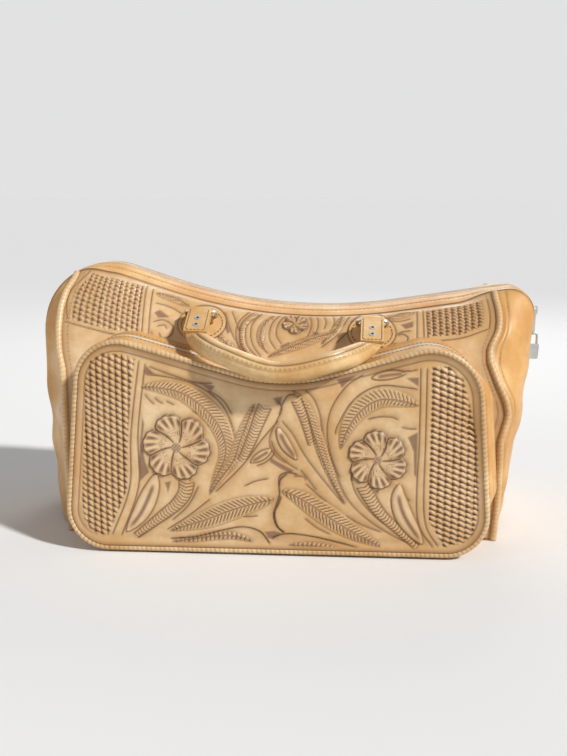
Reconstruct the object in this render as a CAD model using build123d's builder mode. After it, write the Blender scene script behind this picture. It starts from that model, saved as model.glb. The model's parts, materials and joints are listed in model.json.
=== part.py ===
"""Tooled leather travel bag with a front pocket, two rolled handles and a padlocked main zip.

Lengths in mm. +X to the right, the pocket faces -Y, +Z up, origin in the middle of the base.
"""
import os
from math import acos, cos, degrees, radians, sin, tan

from build123d import *

os.makedirs("parts", exist_ok=True)

# Leather, tape and piping
leather = 3.0
tape = 1.2
relief = 0.9
piping_r, seam_piping_r = 2.8, 3.4
air = 0.3

# Ridge that the main zip follows, as (x, z) corners with their bend radii
ridge_corners = [(-260, 186), (-264, 306), (-2, 221), (271, 261), (259, 186)]
ridge_bends = [70, 526, 27]

# Sections of the shell: half depths at the foot, belly, shoulder and top
seam_x = 222
middle_x = [-150, -60, 30, 120]
belly_share, shoulder_share = 0.42, 0.78
body_halves = [95, 100, 84, 32]
turn_halves = [67, 74, 61, 32]
end_halves = [33, 41, 37, 32]
turn_feet = [(-236, 2), (229, 5)]
end_feet = [(-250, 6), (234, 14)]
search_shares = (0.05, 0.95)
search_rounds = 40
far = 400

# Base
base_half_x, base_half_y, base_round = 217, 90, 24

# Main zip strip: half width of the band pair and of the gap between the bands
band_half, zip_half, coil_half = 32, 7, 2.4
coil_depth = 0.1
end_tab_length, end_tab_half, end_tab_thick = 14, 12, 1.3

# Seam piping stops short of the floor and of the zip bands
piping_shares = (0.02, 0.15, 0.3, 0.45, 0.6, 0.72, 0.83, 0.93)

# Front pocket, as (x, z) corners with their bend radii
pocket_corners = [(-210, 4), (-190, 226), (8, 171), (194, 223), (211, 4)]
pocket_bends = [40, 42, 170, 50, 40]
pocket_front = 155
pocket_wall = 2.5
pocket_zip_y, pocket_zip_half = -113, 6
pocket_piping_in, pocket_piping_back = 1.0, 2.0
gusset_z = 160

# Handles
handle_x, handle_half_span = 6, 88
loop_y, loop_z, loop_fall = 70.5, 223, 8
wire_r, ring_reach, ring_half_width, ring_bend = 1.8, 13.0, 15.5, 4.0
loop_out_r, loop_half_width = 4.6, 12.0
lug_y, lug_z = 38, 207
patch_half_x, patch_half_z, patch_z, patch_thick = 24, 16, 216, 1.8
tab_half_width, tab_length, tab_half_thick, slit_half = 11.5, 40.0, 4.2, 1.5
slit_start, tongue_start, tongue_end, grip_start = 5.0, 6.0, 49.0, 44.5
grip_r, tongue_half, tongue_half_width = 10.3, 1.45, 9.0
root_half_thick, root_half_width = 3.2, 10.6
grip_stations = 17
grip_full_share = 0.11
grip_points = {
    "front": [(-77, 66, 9), (-48, 91, 14), (0, 104, 9)],
    "rear": [(-79, 62, -9), (-48, 78, -26), (0, 84, -35)],
}
rivet_r, rivet_head_r, rivet_head = 1.6, 3.2, 0.8
rivet_places = [18, 29]
ring_angles = {"front": 35, "rear": -10}
hang_angles = {"front": -28, "rear": -42}

# Sliders, pulls and padlock
slider_half_y, slider_gap, slider_thick, slider_arc = 4.6, 0.7, 2.5, 11.6
bridge_half_y, bridge_rise, bridge_arc, bridge_wall = 1.2, 4.8, 8.4, 1.0
window_arc = 5.2
pull_half_width, pull_thick, pull_length, pull_round = 3.5, 1.8, 28.0, 2.4
pull_window_half, pull_window, pull_bar = 1.7, 4.6, 0.9
pull_hole_r, pull_hole = 2.2, 24.6
main_slider_angle, main_pull_lean = 0, 1
pocket_slider_angle, pocket_pull_lean = 15, -6
shackle_r, shackle_half, shackle_leg = 1.3, 4.2, 12.0
case_top_half, case_foot_half, case_height, case_half_y = 6.4, 5.4, 16.5, 3.4
case_round, case_gap, sliding_fit, bore_depth = 1.6, 8.0, 0.05, 6.0

# Tooling: flowers, leaves, borders and fields of basket stamping, as (x, z) places
flowers = [((-96, 110), 33), ((103, 109), 29)]
petal_count, petal_share, petal_at_share, eye_share = 5, 0.37, 0.6, 0.2
pocket_leaves = [
    ((-128, 176), (-62, 120), 26, -11), ((-58, 112), (-76, 62), 16, -7),
    ((0, 168), (-62, 52), 16, -3), ((14, 170), (72, 60), -16, 3),
    ((134, 174), (68, 122), -26, 11), ((64, 112), (84, 60), -16, 7),
    ((-102, 12), (-8, 50), 14, -4), ((4, 56), (118, 12), 14, -4),
    ((-70, 10), (-4, 20), 9, -3), ((6, 20), (72, 10), 9, -3),
    ((-136, 40), (-112, 74), 7, -7), ((138, 64), (150, 20), 7, -7),
    ((-2, 84), (-16, 116), 8, -8), ((12, 116), (28, 84), 8, -8),
    ((-70, 184), (-22, 160), 10, -3), ((40, 168), (98, 188), 10, -3),
    ((-118, 68), (-128, 18), 5, -4), ((118, 66), (128, 20), -5, 4),
]
pocket_borders = [
    [(-131, 196), (-138, 116), (-142, 64), (-156, 12)], [(142, 196), (145, 110), (146, 46), (166, 12)],
]
pocket_weave = [
    [(-184, 188), (-136, 194), (-142, 116), (-147, 64), (-160, 14), (-184, 14), (-201, 40)],
    [(147, 194), (184, 186), (203, 40), (186, 14), (170, 14), (151, 46), (150, 110)],
]
border_width, weave_pitch, weave_width, weave_reach, weave_slope = 5.0, 8.6, 5.2, 40, -24
panel_leaves = [
    ((-132, 250), (-114, 218), 7, -7), ((-52, 228), (-38, 200), 8, -8), ((-32, 214), (8, 196), 8, -8),
    ((18, 196), (52, 214), 8, -8), ((64, 220), (32, 222), 6, -6), ((122, 212), (136, 236), 7, -7),
]
panel_borders = [[(-139, 262), (-139, 208)], [(143, 244), (143, 208)]]
panel_weave = [
    [(-210, 262), (-144, 258), (-144, 216), (-208, 222)], [(148, 240), (208, 246), (206, 216), (148, 214)],
]


def corner_arc(before, corner, after, bend):
    """Start, end, centre and middle of the bend that rounds a corner of a polyline."""
    here = Vector(*corner)
    back = (Vector(*before) - here).normalized()
    ahead = (Vector(*after) - here).normalized()
    half = acos(back.dot(ahead)) / 2
    inward = (back + ahead).normalized()
    centre = here + inward * (bend / sin(half))
    reach = bend / tan(half)
    return here + back * reach, here + ahead * reach, centre, centre - inward * bend


def polar(centre, radius, angle):
    return Vector(centre.X + radius * cos(radians(angle)), centre.Y + radius * sin(radians(angle)))


def section_plane(top, foot):
    rise = Vector(top[0] - foot[0], 0, top[1] - foot[1])
    normal = Vector(0, 1, 0).cross(rise)
    return Plane(origin=(foot[0], 0, foot[1]), x_dir=(0, 1, 0), z_dir=normal), rise.length


def side_points(rise, halves, inset):
    levels = [inset, rise * belly_share, rise * shoulder_share, rise - inset]
    return [(half - inset, level) for half, level in zip(halves, levels)]


def shell_loft(stations, inset):
    """Lofts the bag's sections, drawn in by inset; each is (top, foot, halves, side of a closing end)."""
    with BuildPart() as lofted:
        for top, foot, halves, end in stations:
            plane, rise = section_plane(top, foot)
            side = side_points(rise, halves, inset)
            with BuildSketch(plane.offset(-end * inset)):
                with BuildLine():
                    Line((-side[0][0], side[0][1]), side[0])
                    Spline(*side)
                    Line(side[-1], (-side[-1][0], side[-1][1]))
                    Spline(*[(-y, z) for y, z in reversed(side)])
                make_face()
        loft()
    return lofted.part


def slab(y_from, y_to, z_from=-far):
    """All of the space between two depths, above a height."""
    with BuildPart() as space:
        with BuildSketch(Plane.XZ.offset(-y_to)):
            with Locations((0, (z_from + far) / 2)):
                Rectangle(2 * far, far - z_from)
        extrude(amount=y_to - y_from)
    return space.part


def strip(corners, bends, depth_from, depth_to, y_from, y_to):
    """A band that follows a line in the XZ plane, between two depths under it."""
    with BuildPart() as band:
        with BuildSketch(Plane.XZ.offset(-y_to)):
            with BuildLine():
                FilletPolyline(*corners, radius=bends)
                if depth_from:
                    offset(amount=depth_from, side=Side.RIGHT, closed=False)
                offset(amount=depth_to - depth_from, side=Side.RIGHT, closed=True)
            make_face()
        extrude(amount=y_to - y_from)
    return band.part


def leaf_outline(start, end, near, away):
    """A pointed leaf whose two edges bow to either side of its chord."""
    tip, root = Vector(*start), Vector(*end)
    chord = root - tip
    across = Vector(-chord.Y, chord.X).normalized()
    middle = (tip + root) / 2
    with BuildSketch() as leaf:
        with BuildLine():
            ThreePointArc(tip, middle + across * near, root)
            ThreePointArc(root, middle + across * away, tip)
        make_face()
    return leaf.sketch


def weave_bars(corners):
    """Slanting ridges of the basket stamping, kept inside a field."""
    low, high = min(z for x, z in corners), max(z for x, z in corners)
    middle = sum(x for x, z in corners) / len(corners)
    with BuildSketch() as field:
        Polygon(*corners, align=None)
    rows = int((high - low) / weave_pitch)
    with BuildSketch() as bars:
        with Locations(*[(middle, low + (row + 0.5) * weave_pitch) for row in range(rows)]):
            Rectangle(2 * weave_reach, weave_width, rotation=weave_slope)
        add(field.sketch, mode=Mode.INTERSECT)
    return bars.sketch


def arc_block(centre, r_from, r_to, angle, arc_length, half_y, y):
    """A block bent round a zip's corner: between two radii, as wide as an arc length, about an angle."""
    half = degrees(arc_length / r_from) / 2
    with BuildPart() as block:
        with BuildSketch(Plane.XZ.offset(half_y - y)):
            with BuildLine():
                inner = CenterArc(centre, r_from, angle - half, 2 * half)
                outer = CenterArc(centre, r_to, angle - half, 2 * half)
                Line(inner @ 0, outer @ 0)
                Line(inner @ 1, outer @ 1)
            make_face()
        extrude(amount=-2 * half_y)
    return block.part


def zip_slider(centre, bend, angle, y):
    """A slider with a bridge for its pull, bent to the corner it runs round."""
    low, top = bend + slider_gap, bend + slider_gap + slider_thick
    body = arc_block(centre, low, top, angle, slider_arc, slider_half_y, y)
    bridge = arc_block(centre, top, top + bridge_rise, angle, bridge_arc, bridge_half_y, y)
    window = arc_block(centre, top, top + bridge_rise - bridge_wall, angle, window_arc, 2 * bridge_half_y, y)
    return body + (bridge - window)


def bar_place(centre, bend, angle):
    """Where the pull's bar sits in the slider's bridge."""
    return polar(centre, bend + slider_gap + slider_thick + (bridge_rise - bridge_wall) / 2, angle)


def zip_pull(bar, lean, y, holed):
    """A flat pull hanging from its bar, leaning in by an angle."""
    up = Vector(sin(radians(lean)), 0, cos(radians(lean)))
    plane = Plane(origin=(bar.X, y, bar.Y), x_dir=(0, 1, 0), z_dir=Vector(0, 1, 0).cross(up))
    with BuildPart() as pull:
        with BuildSketch(plane) as plate:
            with Locations((0, pull_bar - pull_length / 2)):
                Rectangle(2 * pull_half_width, pull_length)
            fillet(plate.vertices().sort_by(Axis.Y)[:2], pull_round)
            with Locations((0, -pull_bar - pull_window / 2)):
                Rectangle(2 * pull_window_half, pull_window, mode=Mode.SUBTRACT)
            if holed:
                with Locations((0, -pull_hole)):
                    Circle(pull_hole_r, mode=Mode.SUBTRACT)
        extrude(amount=pull_thick / 2, both=True)
    return pull.part


def square_to(across, side, angle):
    """The way out from a handle's axis at an angle above level, square to the axis."""
    way = Vector(0, side * cos(radians(angle)), sin(radians(angle)))
    return (way - across * way.dot(across)).normalized()


def save(part, name):
    part.label = name
    export_step(part, f"parts/{name}.step")


# Ridge line and the shell's lofts
with BuildLine(Plane.XZ) as ridge:
    FilletPolyline(*ridge_corners, radius=ridge_bends)
ridge_wire = ridge.wire()


def ridge_at(x):
    low, high = search_shares
    for _ in range(search_rounds):
        middle = (low + high) / 2
        low, high = (middle, high) if (ridge_wire @ middle).X < x else (low, middle)
    return (x, (ridge_wire @ low).Z)


left_bend = corner_arc(*ridge_corners[0:3], ridge_bends[0])
right_bend = corner_arc(*ridge_corners[2:5], ridge_bends[2])
left_seam = (ridge_at(-seam_x), (-seam_x, 0), body_halves, 0)
right_seam = (ridge_at(seam_x), (seam_x, 0), body_halves, 0)
middle_stations = [left_seam, *[(ridge_at(x), (x, 0), body_halves, 0) for x in middle_x], right_seam]
left_stations = [
    left_seam,
    ((left_bend[3].X, left_bend[3].Y), turn_feet[0], turn_halves, 0),
    ((left_bend[0].X, left_bend[0].Y), end_feet[0], end_halves, -1),
]
right_stations = [
    right_seam,
    ((right_bend[3].X, right_bend[3].Y), turn_feet[1], turn_halves, 0),
    ((right_bend[1].X, right_bend[1].Y), end_feet[1], end_halves, 1),
]
body = shell_loft(middle_stations, 0)
body_wall = body - shell_loft(middle_stations, leather)
left_wall = shell_loft(left_stations, 0) - shell_loft(left_stations, leather)
right_wall = shell_loft(right_stations, 0) - shell_loft(right_stations, leather)
band_space = slab(-band_half, band_half, ridge_corners[0][1])

# Piping of the four upright seams
piping = {}
for seam_name, seam in (("left", left_seam), ("right", right_seam)):
    for side_name, side in (("front", -1), ("back", 1)):
        seam_plane, seam_rise = section_plane(seam[0], seam[1])
        with BuildPart() as cord:
            with BuildLine(seam_plane) as seam_line:
                Spline(*[(side * y, z) for y, z in side_points(seam_rise, body_halves, 0)])
            run = seam_line.edge()
            for share in piping_shares:
                with BuildSketch(Plane(origin=run @ share, z_dir=run % share)):
                    Circle(seam_piping_r)
            loft()
        piping[side_name, seam_name] = cord.part
        save(cord.part, f"{side_name}_{seam_name}_piping")

# Base
with BuildPart() as base_panel:
    with BuildSketch():
        RectangleRounded(2 * base_half_x, 2 * base_half_y, base_round)
    extrude(amount=leather)
save(base_panel.part, "base_panel")

# Pocket piping and the ring of leather that stands between pocket panel and bag
with BuildPart() as pocket_piping:
    with BuildLine(Plane.XZ.offset(pocket_front - pocket_piping_back)) as pocket_edge:
        FilletPolyline(*pocket_corners, radius=pocket_bends, close=True)
        offset(amount=-pocket_piping_in)
    with BuildSketch(Plane(origin=pocket_edge.wire() @ 0, z_dir=pocket_edge.wire() % 0)):
        Circle(piping_r)
    sweep(path=pocket_edge.wire())
save(pocket_piping.part, "pocket_piping")

with BuildPart() as pocket_ring:
    with BuildSketch(Plane.XZ.offset(pocket_front - leather)):
        with BuildLine():
            FilletPolyline(*pocket_corners, radius=pocket_bends, close=True)
        make_face()
        offset(amount=-pocket_wall, mode=Mode.SUBTRACT)
    extrude(amount=-pocket_front)
    add(body, mode=Mode.SUBTRACT)
    add(pocket_piping.part, mode=Mode.SUBTRACT)

# Front and back panels, the front one tooled above the pocket
tooled_skin = shell_loft(middle_stations, -relief) - body
with BuildPart() as panel_tooling:
    with BuildSketch(Plane.XZ):
        for leaf in panel_leaves:
            add(leaf_outline(*leaf))
        for border in panel_borders:
            with BuildLine() as border_line:
                Polyline(*border)
            trace(border_line.line, border_width)
        for field in panel_weave:
            add(weave_bars(field))
    extrude(amount=far)
    add(tooled_skin, mode=Mode.INTERSECT)
    add(pocket_ring.part, mode=Mode.SUBTRACT)
with BuildPart() as front_panel:
    add(body_wall)
    add(slab(0, far), mode=Mode.SUBTRACT)
    add(panel_tooling.part)
    add(band_space, mode=Mode.SUBTRACT)
    add(base_panel.part, mode=Mode.SUBTRACT)
    add([piping["front", "left"], piping["front", "right"]], mode=Mode.SUBTRACT)
save(front_panel.part, "front_panel")

with BuildPart() as back_panel:
    add(body_wall)
    add(slab(-far, 0), mode=Mode.SUBTRACT)
    add(band_space, mode=Mode.SUBTRACT)
    add(base_panel.part, mode=Mode.SUBTRACT)
    add([piping["back", "left"], piping["back", "right"]], mode=Mode.SUBTRACT)
save(back_panel.part, "back_panel")

# End panels
for seam_name, wall in (("left", left_wall), ("right", right_wall)):
    with BuildPart() as end_panel:
        add(wall)
        add(band_space, mode=Mode.SUBTRACT)
        add([piping["front", seam_name], piping["back", seam_name]], mode=Mode.SUBTRACT)
    save(end_panel.part, f"{seam_name}_end_panel")

# Bands, tape, coil and end tabs of the main zip
save(strip(ridge_corners, ridge_bends, 0, leather, -band_half, -zip_half), "front_zip_band")
save(strip(ridge_corners, ridge_bends, 0, leather, zip_half, band_half), "back_zip_band")
save(strip(ridge_corners, ridge_bends, leather - tape, leather, -zip_half, zip_half), "main_zip_tape")
save(strip(ridge_corners, ridge_bends, coil_depth, leather - tape, -coil_half, coil_half), "main_zip_coil")
for end_name, out, foot, top in (
    ("left", -1, ridge_corners[0], ridge_corners[1]), ("right", 1, ridge_corners[4], ridge_corners[3]),
):
    low = Vector(*foot)
    along = (Vector(*top) - low).normalized()
    high = low + along * end_tab_length
    proud = Vector(along.Y, -along.X) * (out * end_tab_thick)
    with BuildPart() as end_tab:
        with BuildSketch(Plane.XZ):
            with BuildLine():
                Polyline(low, high, high + proud, low + proud, close=True)
            make_face()
        extrude(amount=end_tab_half, both=True)
    save(end_tab.part, f"{end_name}_zip_end_tab")

# Front pocket
with BuildPart() as pocket_panel:
    with BuildSketch(Plane.XZ.offset(pocket_front - leather)):
        with BuildLine():
            FilletPolyline(*pocket_corners, radius=pocket_bends, close=True)
            offset(amount=-pocket_piping_in)
        make_face()
    extrude(amount=leather)
    with BuildSketch(Plane.XZ.offset(pocket_front)):
        for leaf in pocket_leaves:
            add(leaf_outline(*leaf))
        for border in pocket_borders:
            with BuildLine() as border_line:
                Polyline(*border)
            trace(border_line.line, border_width)
        for field in pocket_weave:
            add(weave_bars(field))
    extrude(amount=relief)
    for flower, flower_r in flowers:
        with BuildSketch(Plane.XZ.offset(pocket_front)):
            with Locations(flower):
                with PolarLocations(flower_r * petal_at_share, petal_count, start_angle=90):
                    Circle(flower_r * petal_share)
                Circle(flower_r * petal_at_share)
        extrude(amount=2 * relief)
        with BuildSketch(Plane.XZ.offset(pocket_front + 2 * relief)):
            with Locations(flower):
                Circle(flower_r * eye_share)
        extrude(amount=relief)
    add(pocket_piping.part, mode=Mode.SUBTRACT)
save(pocket_panel.part, "pocket_panel")

top_space = slab(-far, far, gusset_z)
zip_front, zip_back = pocket_zip_y - pocket_zip_half, pocket_zip_y + pocket_zip_half
for name, keep in (
    ("pocket_front_band", slab(-far, zip_front)), ("pocket_rear_band", slab(zip_back, far)),
):
    with BuildPart() as pocket_band:
        add(pocket_ring.part)
        add(top_space, mode=Mode.INTERSECT)
        add(keep, mode=Mode.INTERSECT)
    save(pocket_band.part, name)
with BuildPart() as pocket_gusset:
    add(pocket_ring.part)
    add(top_space, mode=Mode.SUBTRACT)
save(pocket_gusset.part, "pocket_gusset")
for name, depth_from, depth_to, half in (
    ("pocket_zip_tape", pocket_wall - tape, pocket_wall, pocket_zip_half),
    ("pocket_zip_coil", coil_depth, pocket_wall - tape, coil_half),
):
    with BuildPart() as pocket_zip:
        with BuildSketch(Plane.XZ.offset(half - pocket_zip_y)):
            with BuildLine():
                FilletPolyline(*pocket_corners, radius=pocket_bends, close=True)
                offset(amount=-depth_from)
            make_face()
            offset(amount=depth_from - depth_to, mode=Mode.SUBTRACT)
        extrude(amount=-2 * half)
        add(top_space, mode=Mode.INTERSECT)
    save(pocket_zip.part, name)

# Sliders and pulls
main_centre = right_bend[2]
save(zip_slider(main_centre, ridge_bends[2], main_slider_angle, 0), "main_zip_slider")
main_bar = bar_place(main_centre, ridge_bends[2], main_slider_angle)
save(zip_pull(main_bar, main_pull_lean, 0, True), "main_zip_pull")
pocket_centre = corner_arc(*pocket_corners[2:5], pocket_bends[3])[2]
save(zip_slider(pocket_centre, pocket_bends[3], pocket_slider_angle, pocket_zip_y), "pocket_zip_slider")
pocket_bar = bar_place(pocket_centre, pocket_bends[3], pocket_slider_angle)
save(zip_pull(pocket_bar, pocket_pull_lean, pocket_zip_y, False), "pocket_zip_pull")

# Padlock, its shackle through the hole of the main pull
hole_x = main_bar.X - pull_hole * sin(radians(main_pull_lean))
hole_z = main_bar.Y - pull_hole * cos(radians(main_pull_lean))
leg_foot = hole_z - shackle_half - shackle_leg
with BuildPart() as padlock_shackle:
    with BuildLine(Plane.XZ) as shackle_line:
        near_leg, far_leg = hole_x - shackle_half, hole_x + shackle_half
        bow_z = hole_z - shackle_half
        Line((near_leg, leg_foot), (near_leg, bow_z))
        ThreePointArc((near_leg, bow_z), (hole_x, hole_z), (far_leg, bow_z))
        Line((far_leg, bow_z), (far_leg, leg_foot))
    with BuildSketch(Plane(origin=(near_leg, 0, leg_foot))):
        Circle(shackle_r)
    sweep(path=shackle_line.wire())
save(padlock_shackle.part, "padlock_shackle")

case_top = hole_z - shackle_half - case_gap
with BuildPart() as padlock_case:
    with BuildSketch(Plane.XZ):
        with BuildLine():
            Polyline((hole_x - case_top_half, case_top), (hole_x + case_top_half, case_top),
                     (hole_x + case_foot_half, case_top - case_height),
                     (hole_x - case_foot_half, case_top - case_height), close=True)
        make_face()
        fillet(vertices(), case_round)
    extrude(amount=case_half_y, both=True)
    with BuildSketch(Plane.XY.offset(case_top)):
        with Locations((hole_x - shackle_half, 0), (hole_x + shackle_half, 0)):
            Circle(shackle_r + sliding_fit)
    extrude(amount=-bore_depth, mode=Mode.SUBTRACT)
save(padlock_case.part, "padlock_case")

# Handles
for side_name, side in (("front", -1), ("rear", 1)):
    across = Vector(2 * handle_half_span, 0, -loop_fall).normalized()
    ring_way = square_to(across, side, ring_angles[side_name])
    hang_way = square_to(across, side, hang_angles[side_name])
    loop = Vector(handle_x, side * loop_y, loop_z)
    bar = loop + ring_way * ring_reach
    handle_plane = Plane(origin=bar, x_dir=across, z_dir=across.cross(hang_way))
    rise_way = handle_plane.z_dir * (1 if handle_plane.z_dir.Z > 0 else -1)
    patch_skin = shell_loft(middle_stations, -patch_thick) - body

    for end_name, end in (("left", -1), ("right", 1)):
        x = end * handle_half_span
        with BuildPart() as ring:
            ring_plane = Plane(origin=loop + across * x, x_dir=across, z_dir=across.cross(ring_way))
            with BuildLine(ring_plane) as ring_line:
                FilletPolyline((-ring_half_width, 0), (ring_half_width, 0), (ring_half_width, ring_reach),
                               (-ring_half_width, ring_reach), radius=ring_bend, close=True)
            with BuildSketch(Plane(origin=ring_line.wire() @ 0, z_dir=ring_line.wire() % 0)):
                Circle(wire_r)
            sweep(path=ring_line.wire())
        save(ring.part, f"{side_name}_{end_name}_ring")

        with BuildPart() as patch:
            with BuildSketch(Plane.XZ.offset(far if side < 0 else 0)):
                with Locations((handle_x + x, patch_z - end * loop_fall / 2)):
                    Ellipse(patch_half_x, patch_half_z)
            extrude(amount=-far)
            add(patch_skin, mode=Mode.INTERSECT)
            add(pocket_ring.part, mode=Mode.SUBTRACT)
            lug_way = Vector(0, side * (lug_y - loop_y), lug_z - loop_z)
            lug_plane = Plane(origin=loop + across * (x - loop_half_width), x_dir=lug_way, z_dir=across)
            with BuildSketch(lug_plane):
                with Locations((lug_way.length / 2, 0)):
                    SlotCenterToCenter(lug_way.length, 2 * loop_out_r)
                Circle(wire_r + air, mode=Mode.SUBTRACT)
            extrude(amount=2 * loop_half_width)
            add(body, mode=Mode.SUBTRACT)
        save(patch.part, f"{side_name}_{end_name}_handle_patch")

        tab_plane = Plane(origin=bar + across * (x - tab_half_width), x_dir=hang_way, z_dir=across)
        with BuildPart() as tab:
            with BuildSketch(tab_plane):
                Circle(loop_out_r)
                with Locations((tab_length / 2, 0)):
                    Rectangle(tab_length, 2 * tab_half_thick)
                Circle(wire_r + air, mode=Mode.SUBTRACT)
                with Locations(((slit_start + tab_length) / 2, 0)):
                    Rectangle(tab_length - slit_start, 2 * slit_half, mode=Mode.SUBTRACT)
            extrude(amount=2 * tab_half_width)
            with BuildSketch(handle_plane.offset(-tab_half_thick)):
                with Locations(*[(end * handle_half_span, place) for place in rivet_places]):
                    Circle(rivet_r)
            extrude(amount=2 * tab_half_thick, mode=Mode.SUBTRACT)
        save(tab.part, f"{side_name}_{end_name}_handle_tab")

    with BuildPart() as rivets:
        spots = [(end * handle_half_span, place) for end in (-1, 1) for place in rivet_places]
        with BuildSketch(handle_plane.offset(-tab_half_thick)):
            with Locations(*spots):
                Circle(rivet_r)
        extrude(amount=2 * tab_half_thick)
        for face_at, out in ((tab_half_thick, rivet_head), (-tab_half_thick, -rivet_head)):
            with BuildSketch(handle_plane.offset(face_at)):
                with Locations(*spots):
                    Circle(rivet_head_r)
            extrude(amount=out)
    save(rivets.part, f"{side_name}_handle_rivets")

    half_points = [(-handle_half_span, grip_start, 0), *grip_points[side_name]]
    half_run = [bar + across * x + hang_way * down + rise_way * out for x, down, out in half_points]
    far_run = [point - across * (2 * x) for point, (x, down, out) in zip(half_run, half_points)]
    with BuildPart() as grip:
        with BuildLine(mode=Mode.PRIVATE) as grip_line:
            Spline(*half_run, *reversed(far_run[:-1]))
        run = grip_line.edge()
        for station in range(grip_stations):
            share = station / (grip_stations - 1)
            fullness = min(1, min(share, 1 - share) / grip_full_share)
            half_thick = root_half_thick + (grip_r - root_half_thick) * fullness
            half_width = root_half_width + (grip_r - root_half_width) * fullness
            way = run % share
            with BuildSketch(Plane(origin=run @ share, x_dir=way.cross(handle_plane.z_dir), z_dir=way)):
                Ellipse(half_width, half_thick)
        loft()
        with BuildSketch(handle_plane.offset(-tongue_half)):
            with Locations(*[(end * handle_half_span, (tongue_start + tongue_end) / 2) for end in (-1, 1)]):
                Rectangle(2 * tongue_half_width, tongue_end - tongue_start)
            with Locations(*spots):
                Circle(rivet_r, mode=Mode.SUBTRACT)
        extrude(amount=2 * tongue_half)
    save(grip.part, f"{side_name}_handle_grip")
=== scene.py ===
"""Looks of the tooled leather travel bag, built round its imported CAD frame."""

import json
import math

import bmesh
import bpy
import numpy as np
from mathutils import Matrix, Vector
from mathutils.bvhtree import BVHTree


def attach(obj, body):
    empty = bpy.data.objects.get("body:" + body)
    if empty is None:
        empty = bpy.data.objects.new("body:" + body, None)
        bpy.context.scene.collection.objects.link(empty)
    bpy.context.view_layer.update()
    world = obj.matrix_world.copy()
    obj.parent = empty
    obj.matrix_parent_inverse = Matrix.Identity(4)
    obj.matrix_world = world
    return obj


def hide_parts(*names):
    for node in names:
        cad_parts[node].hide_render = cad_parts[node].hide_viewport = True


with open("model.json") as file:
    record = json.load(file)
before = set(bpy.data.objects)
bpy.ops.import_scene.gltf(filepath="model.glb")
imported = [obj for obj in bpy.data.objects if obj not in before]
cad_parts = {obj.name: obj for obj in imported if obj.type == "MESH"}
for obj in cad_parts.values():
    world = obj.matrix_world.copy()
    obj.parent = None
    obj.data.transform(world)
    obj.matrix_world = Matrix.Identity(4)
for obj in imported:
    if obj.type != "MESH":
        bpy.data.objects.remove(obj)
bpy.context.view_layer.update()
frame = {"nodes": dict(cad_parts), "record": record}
nodes = frame["nodes"]
MM = 0.001


# Drawn lines and stamped patterns, in mm on the leather

def flowing(points, steps=12):
    """A smooth line through points."""
    p = np.array(points, float)
    p = np.vstack([2 * p[0] - p[1], p, 2 * p[-1] - p[-2]])
    t = np.linspace(0, 1, steps, endpoint=False)[:, None]
    runs = [0.5 * (2 * b + (c - a) * t + (2 * a - 5 * b + 4 * c - d) * t ** 2 + (3 * b - a - 3 * c + d) * t ** 3)
            for a, b, c, d in zip(p[:-3], p[1:-2], p[2:-1], p[3:])]
    return np.vstack(runs + [p[-2:-1]])


def along(line, x, z):
    """How far along a line each place lies, how far off it (left is positive), and the line's length."""
    best = np.full(x.shape, 1e9)
    run, off = np.zeros_like(x), np.zeros_like(x)
    start = 0.0
    for (ax, az), (bx, bz) in zip(line[:-1], line[1:]):
        dx, dz = bx - ax, bz - az
        length = math.hypot(dx, dz)
        share = np.clip(((x - ax) * dx + (z - az) * dz) / length ** 2, 0, 1)
        ex, ez = x - ax - share * dx, z - az - share * dz
        gap = np.hypot(ex, ez)
        near = gap < best
        best[near] = gap[near]
        run[near] = start + share[near] * length
        off[near] = np.copysign(gap, dx * ez - dz * ex)[near]
        start += length
    return run, off, start


def inside(corners, x, z):
    within = np.zeros(x.shape, bool)
    for (ax, az), (bx, bz) in zip(corners, corners[1:] + corners[:1]):
        crosses = (az > z) != (bz > z)
        with np.errstate(divide="ignore", invalid="ignore"):
            within ^= crosses & (x < (bx - ax) * (z - az) / (bz - az) + ax)
    return within


def ramp(values, low, high):
    t = np.clip((values - low) / (high - low), 0, 1)
    return t * t * (3 - 2 * t)


def bell(values, width):
    return np.exp(-(values / width) ** 2)


def unit(ways):
    return ways / np.linalg.norm(ways, axis=-1, keepdims=True)


def smoothed(values, window, axis):
    pad = [(0, 0)] * values.ndim
    pad[axis] = (window, window)
    wide = np.pad(values, pad, mode="reflect", reflect_type="odd")
    kernel = np.ones(2 * window + 1) / (2 * window + 1)
    return np.apply_along_axis(lambda line: np.convolve(line, kernel, "valid"), axis, wide)


def darkest(*shades):
    return np.maximum.reduce(np.broadcast_arrays(*shades))


def burnished(cut):
    """Soft amber wash that gathers round the cuts of a sheet, from its grid of cuts and painted shade."""
    for axis in (0, 1, 0, 1):
        cut = smoothed(cut, 3, axis)
    return np.clip(1.7 * cut, 0, 1)


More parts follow.
